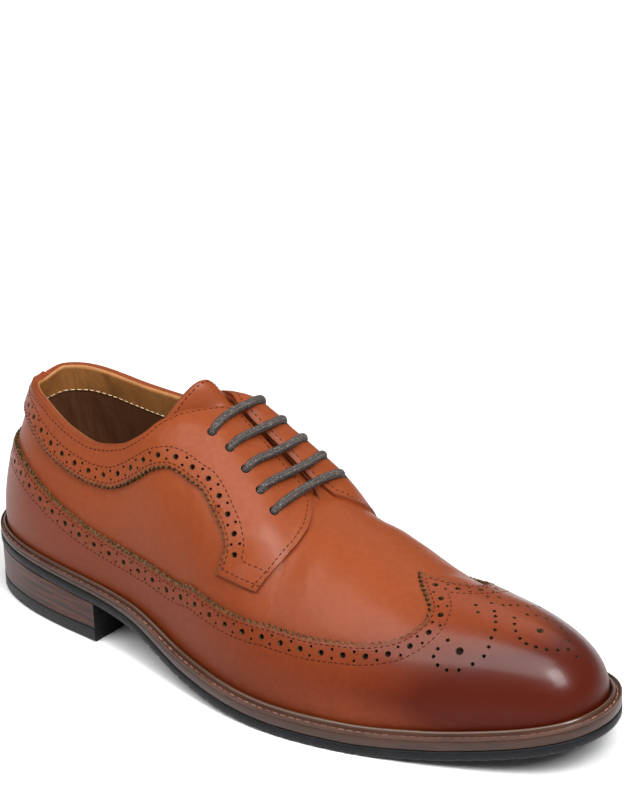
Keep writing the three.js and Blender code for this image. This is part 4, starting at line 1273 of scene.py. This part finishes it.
# Eyelets from the collar down: share along the shoe, millimetres in from each facing's edge, and
# where the bar of lace crosses the throat
EYELETS = dict(
    at=[.443, .47, .498, .524, .548],
    lateral=[16, 18, 19, 20, 21.5],
    medial=[11, 13, 14, 15, 16.5],
    over=[.46, .488, .518, .545, .568],
)
low_at, low_up, high_at, high_up = quarter_tables
for side, word in ((LATERAL, "lateral"), (MEDIAL, "medial")):
    t = np.linspace(0, len(QUARTER["low_at"]) - 1, 6000)
    low = on_skin(low_at(t), low_up(t), side, np.full(len(t), OVERLAY_OUT))[0]
    high = on_skin(high_at(t), high_up(t), side, np.full(len(t), OVERLAY_OUT))[0]
    low_run, high_run = lengths_along(low), lengths_along(high)
    gimp_length = np.interp(GIMP_END_ROW, t, low_run)
    number = round(gimp_length / QUARTER_GIMP_PITCH)
    turns = np.arange(number * 4 + 1) / 4
    even = np.interp(turns / number * gimp_length, low_run, t)
    gimped_edge = toothed(low_at(even), low_up(even), side, turns, -side, 9.0)
    plain_run = np.arange(gimp_length + PLAIN_STEP, low_run[-1] - PLAIN_STEP / 2, PLAIN_STEP)
    even = np.interp(plain_run, low_run, t)
    plain_edge = np.c_[low_at(even), low_up(even)]
    front_low = np.array([low_at(t[-1]), low_up(t[-1])])
    front_high = np.array([high_at(t[-1]), high_up(t[-1])])
    front_edge = np.linspace(front_low, front_high, 34)
    even = np.interp(np.arange(high_run[-1] - PLAIN_STEP, PLAIN_STEP / 2, -PLAIN_STEP), high_run, t)
    high_edge = np.c_[high_at(even), high_up(even)]
    seam = np.c_[np.zeros(14), np.linspace(1, low_up(0.0), 15)[:-1]]
    outline = np.vstack([gimped_edge, plain_edge, front_edge, high_edge, seam])
    gimp_end, seam_start = len(gimped_edge) - 1, len(outline) - len(seam)
    walls = [(0, gimp_end, 1), (gimp_end, seam_start, 0)]
    points, normals, shares, cuts, faces, top = patch(outline, side, walls)
    gimped = low[t <= GIMP_END_ROW][::8]
    plain = low[t > GIMP_END_ROW][::8]
    front = np.linspace(low[-1], high[-1], 80)
    from_gimp = distance_to(points, gimped, 16.0)
    from_low = np.minimum(from_gimp, distance_to(points, plain, 16.0))
    from_top = distance_to(points, np.vstack([high[::8], front]), 16.0)
    fields = {"edge": np.minimum(from_low, from_top), "rise": shares, "cut": cuts, "raw": raw_rim(from_gimp)}
    piece = add_piece("quarter_leather_" + word, points, [faces], tan_skin, ["quarter_" + word],
                      fields)
    faces = faces[:top]
    path = level_paths(points, faces, from_gimp, HOLE_ROW)[0]
    path = even_path(path[(distance_to(path, plain, 50.0) > 7.5) & (path[:, 0] > 0)])
    holes = punched_row(path, QUARTER_HOLE_PITCH, False, points, normals, lead=1.5)
    eyelets = []
    for at, setback in zip(EYELETS["at"], EYELETS[word]):
        size = np.interp(at, column_at, wall_lengths[side])
        spot, up = on_skin(np.array(at), np.array(1 - (setback + 0.6) / size), side, np.array(OVERLAY_OUT))
        eyelets.append((spot, up, EYELET_RADIUS))
    punch(piece, holes + eyelets)
    rows = [row_at(points, faces, from_low, row) for row in (EDGE_ROW, INNER_ROW)]
    rows.append(row_at(points, faces, from_top, PLAIN_ROW))
    points, faces = stitched(rows, points, normals)
    add_piece("quarter_stitches_" + word, points, faces, thread_skin, weld=False)


# Heel strip: a narrow tab of the same leather over the top of the back seam, glued down over both
# quarters and folded in at the rim.
STRIP_AT, STRIP_UP, STRIP_OUT = 0.012, 0.87, 2.85
strip_parts, strip_faces, start = [], [], 0
for side in (LATERAL, MEDIAL):
    across = np.linspace(0, STRIP_AT, 9)
    upwards_line = np.linspace(STRIP_UP, 1, 16)
    bottom = np.c_[across, 0 * across + STRIP_UP]
    flank = np.c_[0 * upwards_line[1:] + STRIP_AT, upwards_line[1:]]
    top_line = np.c_[across[-2::-1], np.ones(8)]
    back_line = np.c_[np.zeros(14), upwards_line[-2:0:-1]]
    outline = np.vstack([bottom, flank, top_line, back_line])
    points, _, shares, cuts, tris, _ = patch(outline, side, [(0, len(outline) - 15, 0)], STRIP_OUT, 0.6)
    strip_parts.append((points, shares, cuts))
    strip_faces.append(tris + start)
    start += len(points)
strip_points, strip_shares, strip_cuts = (np.concatenate(v) for v in zip(*strip_parts))
strip_side = on_skin(np.full(60, STRIP_AT), np.linspace(STRIP_UP, 1, 60), LATERAL, np.full(60, STRIP_OUT))[0]
strip_edge = distance_to(strip_points, strip_side, FAR_IN)
add_piece("heel_tab", strip_points, [np.vstack(strip_faces)], burnished, ["heel_strip"],
          {"edge": strip_edge + 1, "rise": strip_shares, "cut": strip_cuts})


# Tongue: soft tan leather under the facings, sewn in at the foot of the throat. Its rounded top
# stands out of the collar.
TONGUE = dict(at=[.387, .4, .42, .44, .458, .475, .66], bow=[1, .85, .55, .2, .02, 0, 0])
TONGUE_RISE = 15.0
TONGUE_SLANT = 0.017
TONGUE_LEAN = 4.5
TONGUE_THICKNESS = 2.4
UNDER_FACINGS = 2.6
tongue_bow = through(TONGUE["at"], TONGUE["bow"])
stations = np.concatenate([np.linspace(0.387, 0.47, 60), np.linspace(0.472, 0.66, 70)])
flank = np.linspace(0.75, 1, 12, endpoint=False)
middle_share = np.linspace(0, 1, 40)
slant = TONGUE_SLANT * np.clip((0.47 - stations) / 0.08, 0, 1)
left_at, right_at = stations - slant, stations + slant
left = on_skin(left_at, np.ones(len(stations)), LATERAL)[0]
right = on_skin(right_at, np.ones(len(stations)), MEDIAL)[0]
middle = left[:, None] * (1 - middle_share[None, :, None]) + right[:, None] * middle_share[None, :, None]
lean = np.clip((0.44 - stations) / 0.05, 0, 1)[:, None]
dome = np.sin(math.pi * middle_share ** 1.25) ** 0.7
middle[..., 0] += TONGUE_LEAN * lean * dome
middle[..., 2] += TONGUE_RISE * tongue_bow(stations)[:, None] * dome
left_flank = on_skin(left_at[:, None] + 0 * flank, flank[None] + 0 * stations[:, None], LATERAL)[0]
right_flank = on_skin(right_at[:, None] + 0 * flank, flank[None] + 0 * stations[:, None], MEDIAL)[0][:, ::-1]
sheet = np.concatenate([left_flank, middle, right_flank], 1)
across, along = np.gradient(sheet, axis=1), np.gradient(sheet, axis=0)
sheet_normals = np.cross(along, across)
sheet_normals /= np.linalg.norm(sheet_normals, axis=2, keepdims=True)
if sheet_normals[60, 30, 2] < 0:
    sheet_normals = -sheet_normals
top_side = sheet - sheet_normals * UNDER_FACINGS
under_side = top_side - sheet_normals * TONGUE_THICKNESS
rounds = [top_side[:1] * (1 - k) + under_side[:1] * k for k in (0.25, 0.75)]
forward = sheet[:1] - sheet[1:2]
forward /= np.linalg.norm(forward, axis=2, keepdims=True)
grid = np.concatenate([under_side[::-1], rounds[1] + forward * 0.9, rounds[0] + forward * 0.9, top_side])
edge = np.concatenate([np.zeros(len(under_side) + 2), lengths_along(top_side[:, 30])])
edge = np.repeat(edge[:, None], grid.shape[1], 1)
add_piece("tongue_leather", grid.reshape(-1, 3), [grid_faces(len(grid), grid.shape[1])], tan_skin, ["tongue"],
          {"edge": edge.ravel(), "rise": np.ones(edge.size)})
rim_row = int(np.searchsorted(lengths_along(top_side[:, 30]), 2.2))
tack_row = int(np.searchsorted(stations, 0.572))
rows = [top_side[rim_row], top_side[tack_row, 12:52], top_side[tack_row + 2, 12:52]]
points, faces = stitched(rows, top_side.reshape(-1, 3), sheet_normals.reshape(-1, 3))
add_piece("tongue_stitches", points, faces, thread_skin, weld=False)


# Laces: one round waxed cord of charcoal brown cotton in five straight bars, each end going down
# through a punched hole in the facings. The ends are tucked away inside.
LACE_RADIUS = 1.8


def tube(path, radius, sides=20):
    """Grid of points round a path, and the angle of each point of a ring."""
    tangent = np.gradient(path, axis=0)
    tangent /= np.linalg.norm(tangent, axis=1, keepdims=True)
    up = np.array([0.0, 0.0, 1.0]) * np.ones(len(path))[:, None]
    side_way = np.cross(tangent, up)
    side_way /= np.maximum(1e-6, np.linalg.norm(side_way, axis=1, keepdims=True))
    up = np.cross(side_way, tangent)
    turn = np.linspace(0, 2 * math.pi, sides, endpoint=False)
    ring = np.cos(turn)[None, :, None] * side_way[:, None] + np.sin(turn)[None, :, None] * up[:, None]
    return path[:, None] + ring * radius, turn


def lace_finish(shade, place):
    run, turn = shade.field("run"), shade.field("turn")
    one = shade.math("SINE", run * 4.2 + turn * 5.0)
    two = shade.math("SINE", run * 4.2 - turn * 5.0)
    weave = shade.math("MULTIPLY", one, two)
    fleck = place.noise(1600, 2.0).ramp(0.56, 0.68)
    # Painted shade: the braid is coloured darker in its hollows, where weave is low.
    tone = weave.ramp(-0.6, 0.8).mix((0.022, 0.016, 0.014), (0.055, 0.042, 0.037))
    return {
        "Base Color": (fleck * 0.75).mix(tone, (0.26, 0.22, 0.19)),
        "Roughness": 0.62,
        "Normal": shade.bump(weave, 0.7, 0.00035),
    }


# Half a bar of lace: share of the way out to the eyelet, millimetres beyond it, and how high the
# cord's middle lies over the shell
LACE_ROUTE = [(1, 1.4, -2.4), (1, 0.6, 0.6), (0.95, 0, 2.6), (0.8, 0, 3.75), (0.2, 0, 4.3)]
lace_skin = material("lace_cord", lace_finish)
for n, (at, over) in enumerate(zip(EYELETS["at"], EYELETS["over"])):
    path = []
    for side, word in ((LATERAL, "lateral"), (MEDIAL, "medial")):
        leg, setback = [], EYELETS[word][n]
        for share, beyond, lift in LACE_ROUTE:
            column = over + (at - over) * share
            size = np.interp(column, column_at, wall_lengths[side])
            up = 1 - (share * setback + beyond) / size
            leg.append(on_skin(np.array(column), np.array(up), side, np.array(lift))[0])
        path += leg if side == LATERAL else leg[::-1]
    line = even_path(np.array(path), count=140, passes=110)
    grid, turn = tube(line, LACE_RADIUS)
    fields = {"run": np.repeat(lengths_along(line), len(turn)), "turn": np.tile(turn, len(line))}
    quads = grid_faces(len(line), len(turn), tube=True)[:, TURNED]
    add_piece(f"lace_{n + 1}", grid.reshape(-1, 3), [quads], lace_skin, [f"lace_bar_{n + 1}"],
              fields, weld=False)


# The stage: a pale floor under soft studio light, and the camera at the photograph's angle. The
# floor glows far behind the shoe, as a lit backdrop does.
def floor_finish(shade, place):
    far = (place.axis("Y") * 0.79 - place.axis("X") * 0.62).ramp(0.12, 0.8)
    return {
        "Base Color": (0.84, 0.84, 0.84),
        "Roughness": 0.9,
        "Emission Color": far.mix((0, 0, 0), (1, 1, 1)),
        "Emission Strength": 0.95,
    }


floor_mesh = bpy.data.meshes.new("floor")
floor_mesh.from_pydata([(-4, -4, 0), (4, -4, 0), (4, 6, 0), (-4, 6, 0)], [], [(0, 1, 2, 3)])
floor_mesh.materials.append(material("pale_floor", floor_finish))
floor = bpy.data.objects.new("floor", floor_mesh)
bpy.context.scene.collection.objects.link(floor)

world = bpy.data.worlds.new("studio")
world.use_nodes = True
world.node_tree.nodes["Background"].inputs["Color"].default_value = (1, 1, 1, 1)
world.node_tree.nodes["Background"].inputs["Strength"].default_value = 0.2
bpy.context.scene.world = world


def soft_light(name, place, target, width, height, power):
    data = bpy.data.lights.new(name, "AREA")
    data.shape = "RECTANGLE"
    data.size, data.size_y, data.energy = width, height, power
    light = bpy.data.objects.new(name, data)
    light.location = place
    light.rotation_euler = (Vector(target) - Vector(place)).to_track_quat("-Z", "Y").to_euler()
    bpy.context.scene.collection.objects.link(light)


soft_light("overhead", (0.2, -0.42, 1.2), (0, 0, 0.05), 1.2, 0.9, 18)
soft_light("left_fill", (-0.5, -0.9, 0.9), (0, 0, 0.05), 0.9, 0.7, 6)
soft_light("back", (-0.25, 0.9, 1.1), (0, 0, 0.05), 1.4, 0.8, 3)
soft_light("toe_light", (0.8, -0.22, 0.9), (0.12, 0, 0.04), 0.42, 0.55, 13)

AZIMUTH, ELEVATION, ROLL = 38.175, 22.797, -1.758
CAMERA_PLACE = (0.543731, -0.667168, 0.476629)
FOCAL_PX, PHOTO_LONG_SIDE, SENSOR = 2360.75, 800, 36
a, e, r = (math.radians(v) for v in (AZIMUTH, ELEVATION, ROLL))
back = Vector((math.sin(a) * math.cos(e), -math.cos(a) * math.cos(e), math.sin(e)))
right = Vector((math.cos(a), math.sin(a), 0))
above = back.cross(right)
right, above = right * math.cos(r) + above * math.sin(r), above * math.cos(r) - right * math.sin(r)
camera_data = bpy.data.cameras.new("camera")
camera_data.sensor_width = SENSOR
camera_data.lens = FOCAL_PX * SENSOR / PHOTO_LONG_SIDE
camera_data.clip_start, camera_data.clip_end = 0.05, 50
camera = bpy.data.objects.new("camera", camera_data)
turn = Matrix((right, above, back)).transposed().to_4x4()
camera.matrix_world = Matrix.Translation(CAMERA_PLACE) @ turn
bpy.context.scene.collection.objects.link(camera)
bpy.context.scene.camera = camera
bpy.context.scene.view_settings.view_transform = "Standard"
